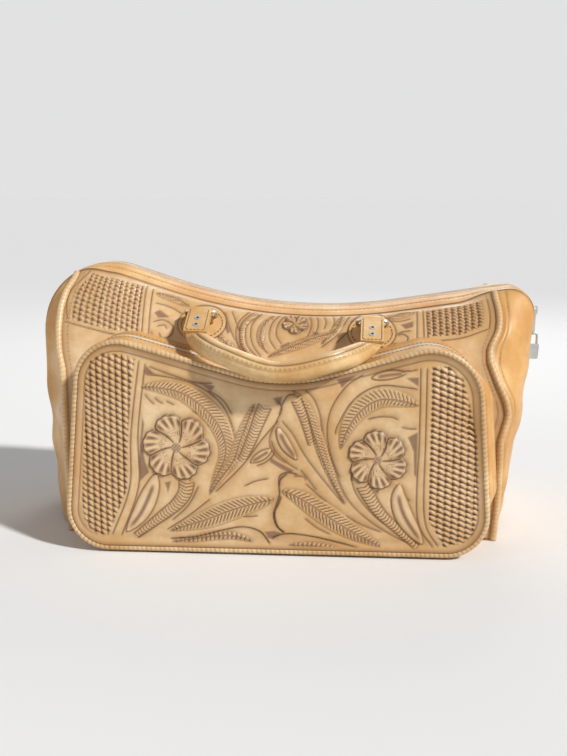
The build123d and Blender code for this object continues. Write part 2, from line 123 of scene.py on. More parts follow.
class Tooling:
    """Heights carved and stamped into a sheet, with the dark of its cuts and stamps and painted shade; x and z are its
    own lengths in mm.
    """

    def __init__(self, x, z):
        self.x, self.z = x, z
        self.height, self.cut, self.mat = np.zeros_like(x), np.zeros_like(x), np.zeros_like(x)

    def near(self, line, reach):
        low, high = np.min(line, axis=0) - reach, np.max(line, axis=0) + reach
        return np.flatnonzero((self.x > low[0]) & (self.x < high[0]) & (self.z > low[1]) & (self.z < high[1]))

    def follow(self, points, reach):
        """Places near a smooth line, with their run along it, their distance off it and its whole length."""
        line = flowing(points)
        here = self.near(line, reach)
        return here, *along(line, self.x[here], self.z[here])

    def field(self, corners, low, high):
        """Places in and near a field, and how far inside each lies, rising from 0 to 1 between two depths."""
        edge = np.array(corners + corners[:1], float)
        here = self.near(edge, 2)
        x, z = self.x[here], self.z[here]
        off = along(edge, x, z)[1]
        return here, x, z, np.where(inside(corners, x, z), ramp(np.abs(off), low, high), 0)

    def lay(self, here, share, height, cut=0.0, mat=0.0):
        """Covers places with a new height, darkening and matting."""
        for field, value in ((self.height, height), (self.cut, cut), (self.mat, mat)):
            field[here] += share * (value - field[here])

    def press(self, here, shape, depth, dark):
        """Presses a line down and darkens it."""
        self.height[here] -= depth * shape
        self.cut[here] = np.maximum(self.cut[here], dark * shape)

    def ditch(self, here, beyond, depth, reach):
        """Bevels the leather down outside an edge, from the distance beyond it."""
        self.height[here] -= depth * np.exp(-np.clip(beyond, 0, 99) / reach) * ramp(beyond, -0.4, 0.4)

    def knife(self, points, width, depth, bevel=0.0, dark=0.9):
        """A swivel-knife cut, beveled down on its left for a positive bevel and on its right for a negative one; the
        bevel is darkened as painted shade.
        """
        here, run, off, length = self.follow(points, 9)
        fade = ramp(run, -0.1, 4) * ramp(length - run, -0.1, 4) if len(points) > 2 else 1
        groove = bell(off, width) * fade
        slope = np.exp(-np.abs(off) / 2.6) * (off * bevel > 0) * abs(bevel) * fade
        self.height[here] -= depth * groove + slope
        self.cut[here] = np.maximum(self.cut[here], dark * groove)
        # Painted shade down the bevel
        self.cut[here] += 0.5 * slope * (1 - self.cut[here])

    def leaf(self, points, left, right, pitch, lean, depth=0.8, crown=0.9, dark=0.85):
        """A leaf along a spine, with veiner stamps leaning along it on both sides."""
        here, run, off, length = self.follow(points, max(left, right) + 6)
        share = np.clip(run / length, 0, 1)
        half = np.where(off > 0, left, right) * np.sin(np.pi * share ** 0.85) ** 0.75 + 0.01
        gap = np.abs(off)
        body = ramp(half - gap, -0.5, 0.7)
        self.ditch(here, gap - half, 0.45, 2.2)
        round_over = crown * (1 - np.clip(gap / half, 0, 1) ** 2)
        wave = np.cos(2 * np.pi * (run - lean * gap) / pitch)
        stamp = ramp(wave, 0.0, 0.9) * ramp(gap / half, 0.06, 0.2) * ramp(gap / half, 0.93, 0.7)
        spine = bell(off, 0.8)
        self.lay(here, body, round_over - depth * stamp - 0.5 * spine, np.maximum(dark * stamp, 0.8 * spine))
        self.press(here, bell(gap - half, 0.8) * (share < 0.995) * (share > 0.005), 0.3, 0.4)

    def ribs(self, points, half_from, half_to, pitch, depth=0.8):
        """A stem crossed by rounded ribs."""
        here, run, off, length = self.follow(points, max(half_from, half_to) + 4)
        share = run / length
        between_ends = (share > 0.004) * (share < 0.996)
        half = half_from + (half_to - half_from) * share
        gap = np.abs(off)
        pit = ramp(np.cos(2 * np.pi * (run + 0.35 * gap) / pitch), 0.1, 0.9)
        height = 0.8 * (1 - (gap / (half + 0.01)) ** 2) - depth * pit * ramp(gap / half, 1.0, 0.7)
        self.lay(here, ramp(half - gap, -0.5, 0.7) * between_ends, height, 0.8 * pit)
        self.press(here, bell(gap - half, 0.8) * between_ends, 0.5, 0.85)

    def bud(self, points, left, right, groove):
        """A smooth bud with one deep, dyed groove along it."""
        here, run, off, length = self.follow(points, max(left, right) + 6)
        share = np.clip(run / length, 0, 1)
        half = np.where(off > 0, left, right) * np.sin(np.pi * share ** 0.9) ** 0.6 + 0.01
        gap = np.abs(off)
        self.ditch(here, gap - half, 0.5, 2.4)
        slot = bell(off, groove) * ramp(share, 0.12, 0.25) * ramp(share, 0.97, 0.8)
        height = 1.1 * (1 - np.clip(gap / half, 0, 1) ** 2) - 1.1 * slot
        self.lay(here, ramp(half - gap, -0.5, 0.7), height, 0.35 * slot, 0.75 * slot)
        self.press(here, bell(gap - half, 0.8), 0.5, 0.85)

    def matted(self, corners, depth=0.7):
        """Background beaten down with a matting stamp and dyed dark."""
        here, x, z, share = self.field(corners, -0.2, 1.8)
        grit = np.cos(2.6 * x + 1.1 * z) * np.cos(2.3 * z - 1.4 * x)
        self.lay(here, share, -depth + 0.25 * grit, 0.3 * ramp(-grit, -0.3, 0.6), 0.85)

    def weave(self, corners, slant=-54, pitch_x=6.3, pitch_z=6.1, depth=1.9):
        """Basket stamping: plump slanting grains in staggered columns, with dark pits between them that are darkest on
        one side of each grain as painted shade.
        """
        here, x, z, share = self.field(corners, 0.3, 2.0)
        column = np.round(x / pitch_x)
        lx = x - column * pitch_x
        shifted = z - (column % 2) * pitch_z / 2
        lz = shifted - np.round(shifted / pitch_z) * pitch_z
        c, s = math.cos(math.radians(slant)), math.sin(math.radians(slant))
        long_way, short_way = (c * lx + s * lz) / (0.70 * pitch_x), (c * lz - s * lx) / (0.305 * pitch_z)
        gap = np.hypot(long_way, short_way)
        grain = np.sqrt(np.clip(1.08 - gap ** 2, 0, 1))
        # Pits darker on one side of each grain: painted shade
        pit = ramp(gap, 0.75, 1.12) * (0.62 + 0.38 * ramp(-short_way, -0.3, 0.8))
        self.lay(here, share, depth * (grain - 0.7), pit)

    def flower(self, centre, radius, turn, petals=6, flutes=4):
        """Overlapping fluted petals round a seeded eye."""
        here = self.near(np.array([centre]), radius + 8)
        x, z = self.x[here] - centre[0], self.z[here] - centre[1]
        r = np.hypot(x, z) / radius
        angle = np.arctan2(z, x) - math.radians(turn) + 0.42 * (1 - np.clip(r, 0, 1)) ** 1.5
        place = angle / (2 * np.pi / petals)
        part = place - np.floor(place)
        lobe = np.abs(np.sin(np.pi * part)) ** 0.5
        scallop = np.abs(np.cos(np.pi * flutes * part))
        edge = 0.74 + 0.22 * lobe + 0.04 * scallop * lobe
        body = ramp(edge - r, -0.02, 0.03)
        fall = np.exp(-np.clip(r - edge, 0, 9) * radius / 3.0)
        self.height[here] -= 0.9 * fall * ramp(r - edge, -0.02, 0.02)
        # Painted shade where the leather falls away outside the petals
        self.cut[here] += 0.35 * fall * (r > edge) * (1 - self.cut[here])
        dish = 0.5 + 1.5 * np.clip(r / edge, 0, 1) ** 2
        flute = ramp(np.cos(2 * np.pi * flutes * part), -0.6, 0.5)
        hollow = (1 - flute) * ramp(r, 0.50, 0.74) * ramp(r / edge, 1.0, 0.9)
        split_gap = np.minimum(part, 1 - part) * 2 * np.pi / petals * np.clip(r, 0.05, 1) * radius
        split = bell(split_gap, 0.8) * ramp(r, 0.1, 0.2)
        fold = 0.9 * np.exp(-part * 2 * np.pi / petals * r * radius / 3.0) * ramp(r, 0.15, 0.4)
        tick = ramp(np.cos(2 * np.pi * 2 * flutes * part), 0.5, 0.95) * ramp(r, 0.3, 0.38) * ramp(r, 0.62, 0.5)
        height = dish - 1.15 * hollow - 0.9 * split - fold - 0.3 * tick
        # The hollows and folds of the petals are darkened as painted shade; splits and ticks are dark cuts
        self.lay(here, body, height, np.clip(0.7 * hollow + split + 0.6 * tick + 0.3 * fold, 0, 1), 0.1 * hollow)
        eye = ramp(0.145 - r, -0.015, 0.02)
        seeds = np.cos(1.9 * x + 0.4) * np.cos(1.9 * z + 0.2)
        self.lay(here, eye, 1.0 + 0.5 * seeds, 0.75 * ramp(seeds, 0.3, -0.4), 0.35)
        self.press(here, bell((r - edge) * radius, 0.9), 0.7, 1)


# Rounded lines, and closed meshes from sheets, tubes and blocks

def corner_bend(before, corner, after, bend):
    """The bend that rounds a corner: its start, end, centre and middle."""
    here = np.array(corner, float)
    back, ahead = unit(np.array(before, float) - here), unit(np.array(after, float) - here)
    half = math.acos(back @ ahead) / 2
    inward = unit(back + ahead)
    first, last = here + back * bend / math.tan(half), here + ahead * bend / math.tan(half)
    centre = here + inward * bend / math.sin(half)
    return first, last, centre, centre - inward * bend


def bent_path(corners, bends, inset=0.0, closed=False, steps=16):
    """A polyline with rounded corners, drawn to its right by inset; an open one keeps its two ends."""
    line = []
    count = len(corners)
    for i in range(count) if closed else range(1, count - 1):
        bend = bends[i if closed else i - 1]
        first, last, centre, _ = corner_bend(corners[i - 1], corners[i], corners[(i + 1) % count], bend)
        a = math.atan2(*(first - centre)[::-1])
        turn = (math.atan2(*(last - centre)[::-1]) - a + math.pi) % (2 * math.pi) - math.pi
        radius = bend - inset if turn < 0 else bend + inset
        line += [centre + radius * np.array([math.cos(a + turn * k / steps), math.sin(a + turn * k / steps)])
                 for k in range(steps + 1)]
    if not closed:
        line = [np.array(corners[0], float)] + line + [np.array(corners[-1], float)]
    return [tuple(p) for p in line]


def evenly(line, step):
    """Places at even steps along a line, with the way it runs and its length up to each."""
    line = np.array(line, float)
    runs = np.concatenate([[0], np.cumsum(np.linalg.norm(np.diff(line, axis=0), axis=1))])
    count = max(2, int(round(runs[-1] / step)) + 1)
    at = np.linspace(0, runs[-1], count)
    places = np.column_stack([np.interp(at, runs, line[:, k]) for k in range(line.shape[1])])
    return places, unit(np.gradient(places, axis=0)), at


def made_mesh(bm):
    """A mesh from a finished bmesh; add_piece names it."""
    mesh = bpy.data.meshes.new("piece")
    bm.to_mesh(mesh)
    bm.free()
    return mesh


def sheet_grid(columns, rows):
    """A grid of that many cells, with the share across and the share up of each vertex."""
    bm = bmesh.new()
    bmesh.ops.create_grid(bm, x_segments=columns, y_segments=rows, size=0.5)
    mesh = made_mesh(bm)
    co = np.empty(len(mesh.vertices) * 3)
    mesh.vertices.foreach_get("co", co)
    co = co.reshape(-1, 3)
    return mesh, co[:, 0] + 0.5, co[:, 1] + 0.5


def set_places(mesh, places_mm):
    mesh.vertices.foreach_set("co", (places_mm * MM).astype(np.float32).ravel())
    mesh.update()


def close_sheet(mesh):
    """Welds a sheet that is wrapped round on itself, fills its ends and turns its faces outwards."""
    bm = bmesh.new()
    bm.from_mesh(mesh)
    bmesh.ops.remove_doubles(bm, verts=bm.verts, dist=1e-6)
    bmesh.ops.holes_fill(bm, edges=[e for e in bm.edges if e.is_boundary], sides=0)
    bmesh.ops.recalc_face_normals(bm, faces=bm.faces[:])
    bm.to_mesh(mesh)
    bm.free()


def set_marks(mesh, **marks):
    for name, values in marks.items():
        mesh.attributes.new(name, "FLOAT", "POINT").data.foreach_set("value", values.astype(np.float32))


def add_piece(name, mesh, body, finish, stands_for=()):
    mesh.name = name
    piece = bpy.data.objects.new(name, mesh)
    bpy.context.scene.collection.objects.link(piece)
    mesh.polygons.foreach_set("use_smooth", np.ones(len(mesh.polygons), bool))
    mesh.materials.clear()
    mesh.materials.append(finish)
    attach(piece, body)
    if stands_for:
        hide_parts(*stands_for)


def wrapped_sheet(rows, **marks):
    """A closed sheet from rows of places in mm that run once round it; marks left short are blank at their end."""
    columns, steps = rows.shape[0] - 1, rows.shape[1] - 1
    mesh, across, up = sheet_grid(columns, steps)
    column, row = np.rint(across * columns).astype(int), np.rint(up * steps).astype(int)
    set_places(mesh, rows[column, row])
    for key, values in marks.items():
        marks[key] = np.pad(values, ((0, 0), (0, steps + 1 - values.shape[1])))[column, row]
    set_marks(mesh, **marks)
    close_sheet(mesh)
    return mesh


def sheet_outs(sheet):
    """Ways square to a sheet at each of its places."""
    return unit(np.cross(np.gradient(sheet, axis=0), np.gradient(sheet, axis=1)))


def stood(flat, y):
    """A line that is drawn in x and z, stood up at one depth in mm."""
    return np.column_stack([flat[:, 0], np.full(len(flat), y), flat[:, 1]])


def left_of(ways):
    """The ways to the left of ways that are drawn in x and z."""
    return np.column_stack([-ways[:, 1], np.zeros(len(ways)), ways[:, 0]])


def across_ways(places, side):
    """Two ways across a line at each of its places; side is roughly the first of them."""
    ways = unit(np.gradient(places, axis=0))
    side = unit(side - ways * np.sum(side * ways, axis=1)[:, None])
    return side, np.cross(ways, side)


def tube(places, side, radius, shade, around):
    """A tube along places in mm. radius and shade give its reach and its darkening, mostly painted shade, at places and
    angles.
    """
    side, other = across_ways(places, side)
    mesh, share_along, share_round = sheet_grid(len(places) - 1, around)
    at = np.rint(share_along * (len(places) - 1)).astype(int)
    angle = 2 * np.pi * share_round
    reach = radius(at, angle, side, other)[:, None]
    set_places(mesh, places[at] + reach * (np.cos(angle)[:, None] * side[at] + np.sin(angle)[:, None] * other[at]))
    set_marks(mesh, cut=shade(at, angle, side, other))
    close_sheet(mesh)
    return mesh


def studs(places, ways, ups, size):
    """Many small blocks of one size in mm, such as stitches or zip teeth, each laid along its own way."""
    bm = bmesh.new()
    for place, way, up_way in zip(places, ways, ups):
        across_way = Vector(up_way).cross(Vector(way)).normalized()
        turn = Matrix((Vector(way).normalized(), across_way, Vector(way).cross(across_way).normalized())).transposed()
        scale = Matrix.Diagonal(Vector(size) * MM)
        bmesh.ops.create_cube(bm, size=1, matrix=Matrix.Translation(Vector(place) * MM) @ (turn @ scale).to_4x4())
    bmesh.ops.recalc_face_normals(bm, faces=bm.faces[:])
    return made_mesh(bm)


def cad_tree(name):
    mesh = nodes[name].data
    return BVHTree.FromPolygons([v.co for v in mesh.vertices], [p.vertices for p in mesh.polygons])


def laid_on(tree, points, way):
    """Where points in mm, sent along a way, first meet a surface, and the surface's ways out there."""
    places, outs = [], []
    for point in points:
        hit, normal, face, gap = tree.ray_cast(Vector(point) * MM, Vector(way))
        if hit is not None:
            places.append(np.array(hit) / MM)
            outs.append(np.array(normal) * (-1 if normal.dot(Vector(way)) > 0 else 1))
    return np.array(places), np.array(outs)


def sewn(run, off, pitch=4.4):
    """Dark holes and the shallow groove of a sewn row, from the run along it and the distance off it in mm."""
    step = run - np.round(run / pitch) * pitch
    return np.exp(-(step / 0.85) ** 2 - (off / 0.85) ** 2), bell(off, 1.4)


# Finishes

def node_group(name, inputs, outputs):
    group = bpy.data.node_groups.new(name, "ShaderNodeTree")
    for socket, kind, value in inputs:
        made = group.interface.new_socket(name=socket, in_out="INPUT", socket_type=kind)
        if value is not None:
            made.default_value = value
    for socket, kind in outputs:
        group.interface.new_socket(name=socket, in_out="OUTPUT", socket_type=kind)
    return group, group.nodes.new("NodeGroupInput"), group.nodes.new("NodeGroupOutput")


def feed(tree, socket, value):
    """Links a socket to another node's output or sets it to a plain value."""
    if isinstance(value, bpy.types.NodeSocket):
        tree.links.new(value, socket)
    elif value is not None:
        socket.default_value = value


def noise(tree, scale, detail, rough, where):
    node = tree.nodes.new("ShaderNodeTexNoise")
    for socket, value in (("Scale", scale), ("Detail", detail), ("Roughness", rough), ("Vector", where)):
        feed(tree, node.inputs[socket], value)
    return node.outputs["Fac"]


def remap(tree, value, low, high, to_low=0.0, to_high=1.0):
    node = tree.nodes.new("ShaderNodeMapRange")
    for socket, number in (("Value", value), ("From Min", low), ("From Max", high), ("To Min", to_low),
                           ("To Max", to_high)):
        feed(tree, node.inputs[socket], number)
    return node.outputs["Result"]


def mixed(tree, share, first, second):
    node = tree.nodes.new("ShaderNodeMix")
    node.data_type = "RGBA"
    for socket, value in ((node.inputs["Factor"], share), (node.inputs[6], first), (node.inputs[7], second)):
        feed(tree, socket, value)
    return node.outputs[2]


def math_node(tree, operation, first, second):
    node = tree.nodes.new("ShaderNodeMath")
    node.operation = operation
    for socket, value in zip(node.inputs, (first, second)):
        feed(tree, socket, value)
    return node.outputs[0]


def add_bump(tree, shader, height, strength, distance):
    bump = tree.nodes.new("ShaderNodeBump")
    for socket, value in (("Height", height), ("Strength", strength), ("Distance", distance)):
        feed(tree, bump.inputs[socket], value)
    tree.links.new(bump.outputs["Normal"], shader.inputs["Normal"])


def leather_group():
    """Mottled tan and fine grain of old vegetable-tanned leather."""
    group, given, result = node_group(
        "old_leather",
        [("Place", "NodeSocketVector", None), ("Light", "NodeSocketColor", (1, 1, 1, 1)),
         ("Deep", "NodeSocketColor", (1, 1, 1, 1)), ("Age", "NodeSocketFloat", 0.5)],
        [("Color", "NodeSocketColor"), ("Grain", "NodeSocketFloat"), ("Gloss", "NodeSocketFloat")])
    place = given.outputs["Place"]
    cloud = remap(group, noise(group, 16, 5, 0.62, place), 0.36, 0.64)
    spots = remap(group, noise(group, 85, 4, 0.65, place), 0.42, 0.72)
    share = math_node(group, "MULTIPLY", cloud, given.outputs["Age"])
    color = mixed(group, share, given.outputs["Light"], given.outputs["Deep"])
    fine = math_node(group, "MULTIPLY", spots, math_node(group, "MULTIPLY", given.outputs["Age"], 0.6))
    color = mixed(group, fine, color, given.outputs["Deep"])
    cells = group.nodes.new("ShaderNodeTexVoronoi")
    cells.feature = "DISTANCE_TO_EDGE"
    cells.inputs["Scale"].default_value = 620
    group.links.new(place, cells.inputs["Vector"])
    pores = remap(group, cells.outputs["Distance"], 0.0, 0.25)
    grain = math_node(group, "ADD", math_node(group, "MULTIPLY", pores, 0.5), noise(group, 260, 3, 0.6, place))
    group.links.new(color, result.inputs["Color"])
    group.links.new(grain, result.inputs["Grain"])
    group.links.new(remap(group, cloud, 0, 1, 0.30, 0.47), result.inputs["Gloss"])
    return group


def new_material(name):
    material = bpy.data.materials.new(name)
    material.use_nodes = True
    tree = material.node_tree
    return material, tree, tree.nodes["Principled BSDF"]


def object_place(tree):
    return tree.nodes.new("ShaderNodeTexCoord").outputs["Object"]


def mark(tree, name):
    node = tree.nodes.new("ShaderNodeAttribute")
    node.attribute_name = name
    return node.outputs["Fac"]


OLD_LEATHER = leather_group()
# Colours laid from the lowest layer up: the mark that places each, its strength and its colour. The first, pale one
# lightens raised relief, partly as wear and partly as painted highlight; the last, darkest one colours knife cuts and
# stamps and is also painted shade in creases, bevels, hollows and beside seams.
MARK_COLOURS = (
    ("crest", 0.5, (0.88, 0.72, 0.50, 1)), ("wash", 0.75, (0.52, 0.25, 0.075, 1)),
    ("mat", 1.0, (0.245, 0.127, 0.072, 1)), ("cut", 0.94, (0.060, 0.024, 0.010, 1)),
)


def leather(name, light, deep, age):
    """Leather finish; marks on a mesh lighten its crests (wear and painted highlight), wash it amber round its cuts,
    dye its matted ground and darken its knife cuts and painted shade.
    """
    material, tree, shader = new_material(name)
    old = tree.nodes.new("ShaderNodeGroup")
    old.node_tree = OLD_LEATHER
    for socket, value in (("Place", object_place(tree)), ("Light", (*light, 1)), ("Deep", (*deep, 1)), ("Age", age)):
        feed(tree, old.inputs[socket], value)
    color = old.outputs["Color"]
    for mark_name, strength, tone in MARK_COLOURS:
        color = mixed(tree, math_node(tree, "MULTIPLY", mark(tree, mark_name), strength), color, tone)
    tree.links.new(color, shader.inputs["Base Color"])
    tree.links.new(old.outputs["Gloss"], shader.inputs["Roughness"])
    add_bump(tree, shader, old.outputs["Grain"], 0.12, 0.0006)
    return material


finish_tooled = leather("tooled_tan", (0.79, 0.585, 0.345), (0.58, 0.335, 0.125), 0.85)
finish_plain = leather("plain_honey", (0.72, 0.43, 0.155), (0.54, 0.25, 0.06), 0.85)
finish_piping = leather("piping_tan", (0.77, 0.56, 0.31), (0.50, 0.28, 0.10), 0.75)
finish_strap = leather("strap_tan", (0.77, 0.535, 0.26), (0.52, 0.27, 0.075), 0.9)


def plain_finish(name, color, rough, metal=0.0, scratch=0.0):
    material, tree, shader = new_material(name)
    place = object_place(tree)
    tone = remap(tree, noise(tree, 60, 4, 0.6, place), 0.35, 0.7)
    dull = tuple(c * 0.72 for c in color)
    tree.links.new(mixed(tree, tone, (*color, 1), (*dull, 1)), shader.inputs["Base Color"])
    shader.inputs["Metallic"].default_value = metal
    tree.links.new(remap(tree, tone, 0, 1, rough, min(1, rough + 0.18)), shader.inputs["Roughness"])
    if scratch:
        add_bump(tree, shader, noise(tree, 900, 2, 0.5, place), scratch, 0.0003)
    return material


finish_tape = plain_finish("zip_tape_cream", (0.78, 0.74, 0.62), 0.85, scratch=0.4)
finish_coil = plain_finish("zip_coil_ivory", (0.74, 0.72, 0.62), 0.45)
finish_nickel = plain_finish("old_nickel", (0.70, 0.70, 0.68), 0.26, metal=1.0, scratch=0.1)
finish_thread = plain_finish("brown_thread", (0.30, 0.17, 0.075), 0.7)
# Near-black discs painted as the shade inside the rivet holes
finish_hole_shade = plain_finish("eyelet_dark", (0.03, 0.04, 0.04), 0.5)

finish_of_slot = {
    "tooled_leather": finish_tooled, "plain_leather": finish_plain, "piping_leather": finish_piping,
    "strap_leather": finish_strap, "zip_tape": finish_tape, "zip_coil": finish_coil, "nickel": finish_nickel,
}
for part in frame["record"]["subparts"]:
    mesh = nodes[part["node"]].data
    mesh.materials.clear()
    mesh.materials.append(finish_of_slot[part["material_slot"]])

# Pocket panel: flat leather with a soft crown, carved all over

pocket_corners = [(-210, 4), (-190, 226), (8, 171), (194, 223), (211, 4)]
pocket_bends = [40, 42, 170, 50, 40]
POCKET_LEFT, POCKET_FOOT, POCKET_WIDE, POCKET_TALL = -206, 5, 412, 206
POCKET_FRONT, POCKET_WALL, CREST = 155, 152.5, (0.1, 1.3)


def pocket_outline(inset):
    return bent_path(pocket_corners, pocket_bends, inset, closed=True)


def pocket_tooling(x, z):
    t = Tooling(x, z)
    # Ground of the floral field, beaten down in patches
    for corners in (
        [(-125, 192), (-116, 183), (-106, 180), (-120, 181), (-127, 182)],
        [(-129, 146), (-126, 133), (-129, 115), (-126, 95), (-122, 85), (-133, 74), (-134, 95), (-131, 124)],
        [(-109, 75), (-101, 77), (-103, 69), (-105, 62)], [(-77, 177), (-56, 172), (-61, 165), (-69, 171)],
        [(-11, 26), (-1, 27), (9, 24), (-2, 16), (-7, 18)], [(-6, 100), (8, 95), (15, 90), (15, 86), (-2, 95)],
        [(-5, 103), (11, 94), (20, 89), (15, 85), (4, 91), (-5, 97)],
        [(58, 180), (75, 184), (81, 185), (69, 175), (64, 170)],
        [(123, 182), (138, 183), (138, 172), (129, 178)],
        [(127, 125), (138, 131), (138, 83), (134, 87), (133, 110), (130, 118)],
        [(1, 161), (9, 164), (6, 153), (3, 154)],
        [(-2, 161), (5, 163), (4, 151)], [(95, 72), (103, 72), (100, 65)],
    ):
        t.matted(corners)
    # Basket fields and double borders at both ends
    t.weave([(-185, 177), (-180, 195), (-167, 203), (-148, 202), (-134, 197), (-138, 167), (-142, 124), (-144, 68),
             (-166, 17), (-182, 18), (-191, 34), (-193, 55), (-191, 95), (-188, 138)])
    t.weave([(148, 193), (166, 194), (180, 181), (188, 153), (195, 124), (198, 81), (199, 52), (195, 27), (185, 17),
             (165, 12), (149, 42), (148, 110)], slant=-36, pitch_x=7.0, pitch_z=5.5)
    for line in (
        [(-131, 197), (-140, 124), (-143, 69), (-163, 17)], [(-125, 194), (-133, 124), (-134, 70), (-154, 16)],
        [(139, 193), (139, 124), (139, 44), (156, 11)], [(145, 193), (145, 124), (146, 44), (161, 12)],
    ):
        t.knife(line, 0.8, 0.7)
    # Long curved stems and petal lines
    for line in (
        [(-123, 190), (-101, 182), (-78, 175), (-58, 174)],
        [(-127, 182), (-101, 179), (-73, 171), (-52, 155), (-42, 135), (-39, 115), (-44, 95)],
        [(-127, 164), (-121, 157), (-115, 152)],
        [(-118, 161), (-112, 156), (-106, 153)], [(-104, 156), (-98, 153)], [(-81, 148), (-69, 140), (-63, 130)],
        [(-83, 80), (-85, 64), (-97, 45), (-118, 29), (-138, 14)], [(-62, 60), (-86, 40), (-109, 24)],
        [(5, 140), (-12, 120), (-31, 94), (-59, 65)],
        [(3, 160), (7, 150), (2, 138), (-4, 124), (-4, 113), (2, 103), (13, 95)],
        [(-4, 111), (-1, 105), (-9, 97), (-19, 93)], [(-31, 72), (-18, 78), (-4, 81)],
        [(-44, 42), (-28, 41), (-15, 42)],
        [(6, 140), (18, 125), (29, 105), (42, 87), (56, 70), (69, 55)], [(-4, 121), (1, 108), (12, 97), (24, 89)],
        [(4, 141), (8, 155), (15, 164), (24, 161), (29, 150)],
        [(28, 170), (38, 160), (44, 144), (47, 125), (55, 101), (64, 81)],
        [(86, 185), (69, 173), (56, 154), (51, 135), (52, 115), (58, 91), (71, 62), (92, 40), (116, 24), (142, 11)],
        [(75, 95), (75, 81), (81, 65), (98, 44), (120, 27), (139, 14)],
        [(29, 77), (46, 62), (64, 48), (86, 35), (106, 27)],
        [(138, 171), (123, 173), (103, 174), (86, 168), (72, 155), (61, 135), (58, 124)],
        [(88, 141), (101, 144), (112, 144), (120, 141)], [(120, 135), (129, 133), (138, 133)],
        [(93, 181), (109, 188), (128, 188), (138, 190)], [(113, 64), (115, 51), (123, 35)], [(122, 70), (131, 61)],
        [(28, 42), (42, 31), (56, 24)], [(17, 83), (28, 83), (31, 77)], [(-74, 73), (-85, 52), (-103, 34)],
        [(24, 91), (33, 80), (42, 68)], [(-66, 168), (-50, 158), (-40, 142)],
    ):
        t.knife(line, 0.7, 0.5, 0.55)
    # Leaves: spine, reach to the left and right, pitch and lean of the veins, depth
    for line, left, right, pitch, lean, depth in (
        ([(-129, 170), (-109, 169), (-88, 164), (-69, 151), (-55, 135), (-48, 118), (-48, 101), (-55, 85), (-64, 65)],
         11, 9, 3.5, 0.8, 0.9),
        ([(138, 156), (120, 160), (103, 161), (88, 154), (76, 141), (68, 125), (64, 111)], 8, 12, 3.6, 0.5, 0.9),
        ([(-19, 155), (-31, 124), (-40, 98), (-52, 81), (-64, 63)], 5, 6, 3.4, 0.9, 0.8),
        ([(17, 168), (29, 153), (39, 124), (48, 98), (59, 74), (69, 57)], 8, 3, 3.3, 0.9, 0.9),
        ([(0, 60), (-24, 54), (-45, 47), (-66, 38), (-86, 31), (-104, 24)], 11, 11, 4.1, 0.9, 1.2),
        ([(7, 69), (24, 62), (42, 51), (61, 38), (81, 25), (105, 12)], 11, 11, 4.1, 0.9, 1.2),
        ([(-21, 14), (-38, 20), (-58, 20), (-81, 16), (-103, 12)], 5, 5, 4.4, 0.3, 1.1),
        ([(14, 12), (38, 12), (64, 8), (83, 6)], 4, 4, 4.4, 0.3, 1.1),
    ):
        t.leaf(line, left, right, pitch, lean, depth)
    # Ribbed stems: line, half its width at the start and end, pitch of the ribs
    for line, half_from, half_to, pitch in (
        ([(-9, 153), (-17, 133), (-24, 115), (-32, 98)], 6.5, 4, 3.0),
        ([(21, 160), (29, 140), (36, 115)], 5, 3, 3.0),
        ([(-86, 77), (-88, 65), (-96, 53), (-109, 42), (-125, 29), (-140, 17)], 7.5, 3, 3.4),
        ([(86, 77), (92, 65), (103, 48), (120, 31), (140, 12)], 7, 3, 3.4),
    ):
        t.ribs(line, half_from, half_to, pitch)
    # Buds: line, reach to the left and right, width of the groove
    for line, left, right, groove in (
        ([(-116, 83), (-122, 65), (-133, 42), (-148, 22)], 9, 9, 1.9),
        ([(121, 78), (121, 62), (128, 42), (145, 16)], 9, 9, 1.9), ([(-3, 110), (-12, 104), (-23, 97)], 4.5, 4.5, 1.5),
        ([(3, 132), (11, 115), (22, 100)], 5.5, 5.5, 2.0), ([(93, 181), (109, 184), (125, 186)], 4, 4, 1.6),
    ):
        t.bud(line, left, right, groove)
    t.flower((-95.3, 110.8), 33.5, 20)
    t.flower((99.8, 101.8), 29.2, 8)
    # Deep lobes at the middle and along the foot
    for line in (
        [(14, 87), (5, 78), (5, 65), (3, 57), (0, 44), (3, 31), (11, 24)], [(4, 71), (5, 83), (14, 87), (24, 84)],
        [(7, 64), (4, 55), (-1, 44), (2, 32), (11, 24)],
        [(-106, 15), (-81, 18), (-52, 26), (-31, 30), (-14, 25), (-4, 11)],
        [(-5, 18), (12, 24), (38, 22), (66, 15), (95, 7)],
    ):
        t.knife(line, 0.9, 0.9, -0.8)
    return t


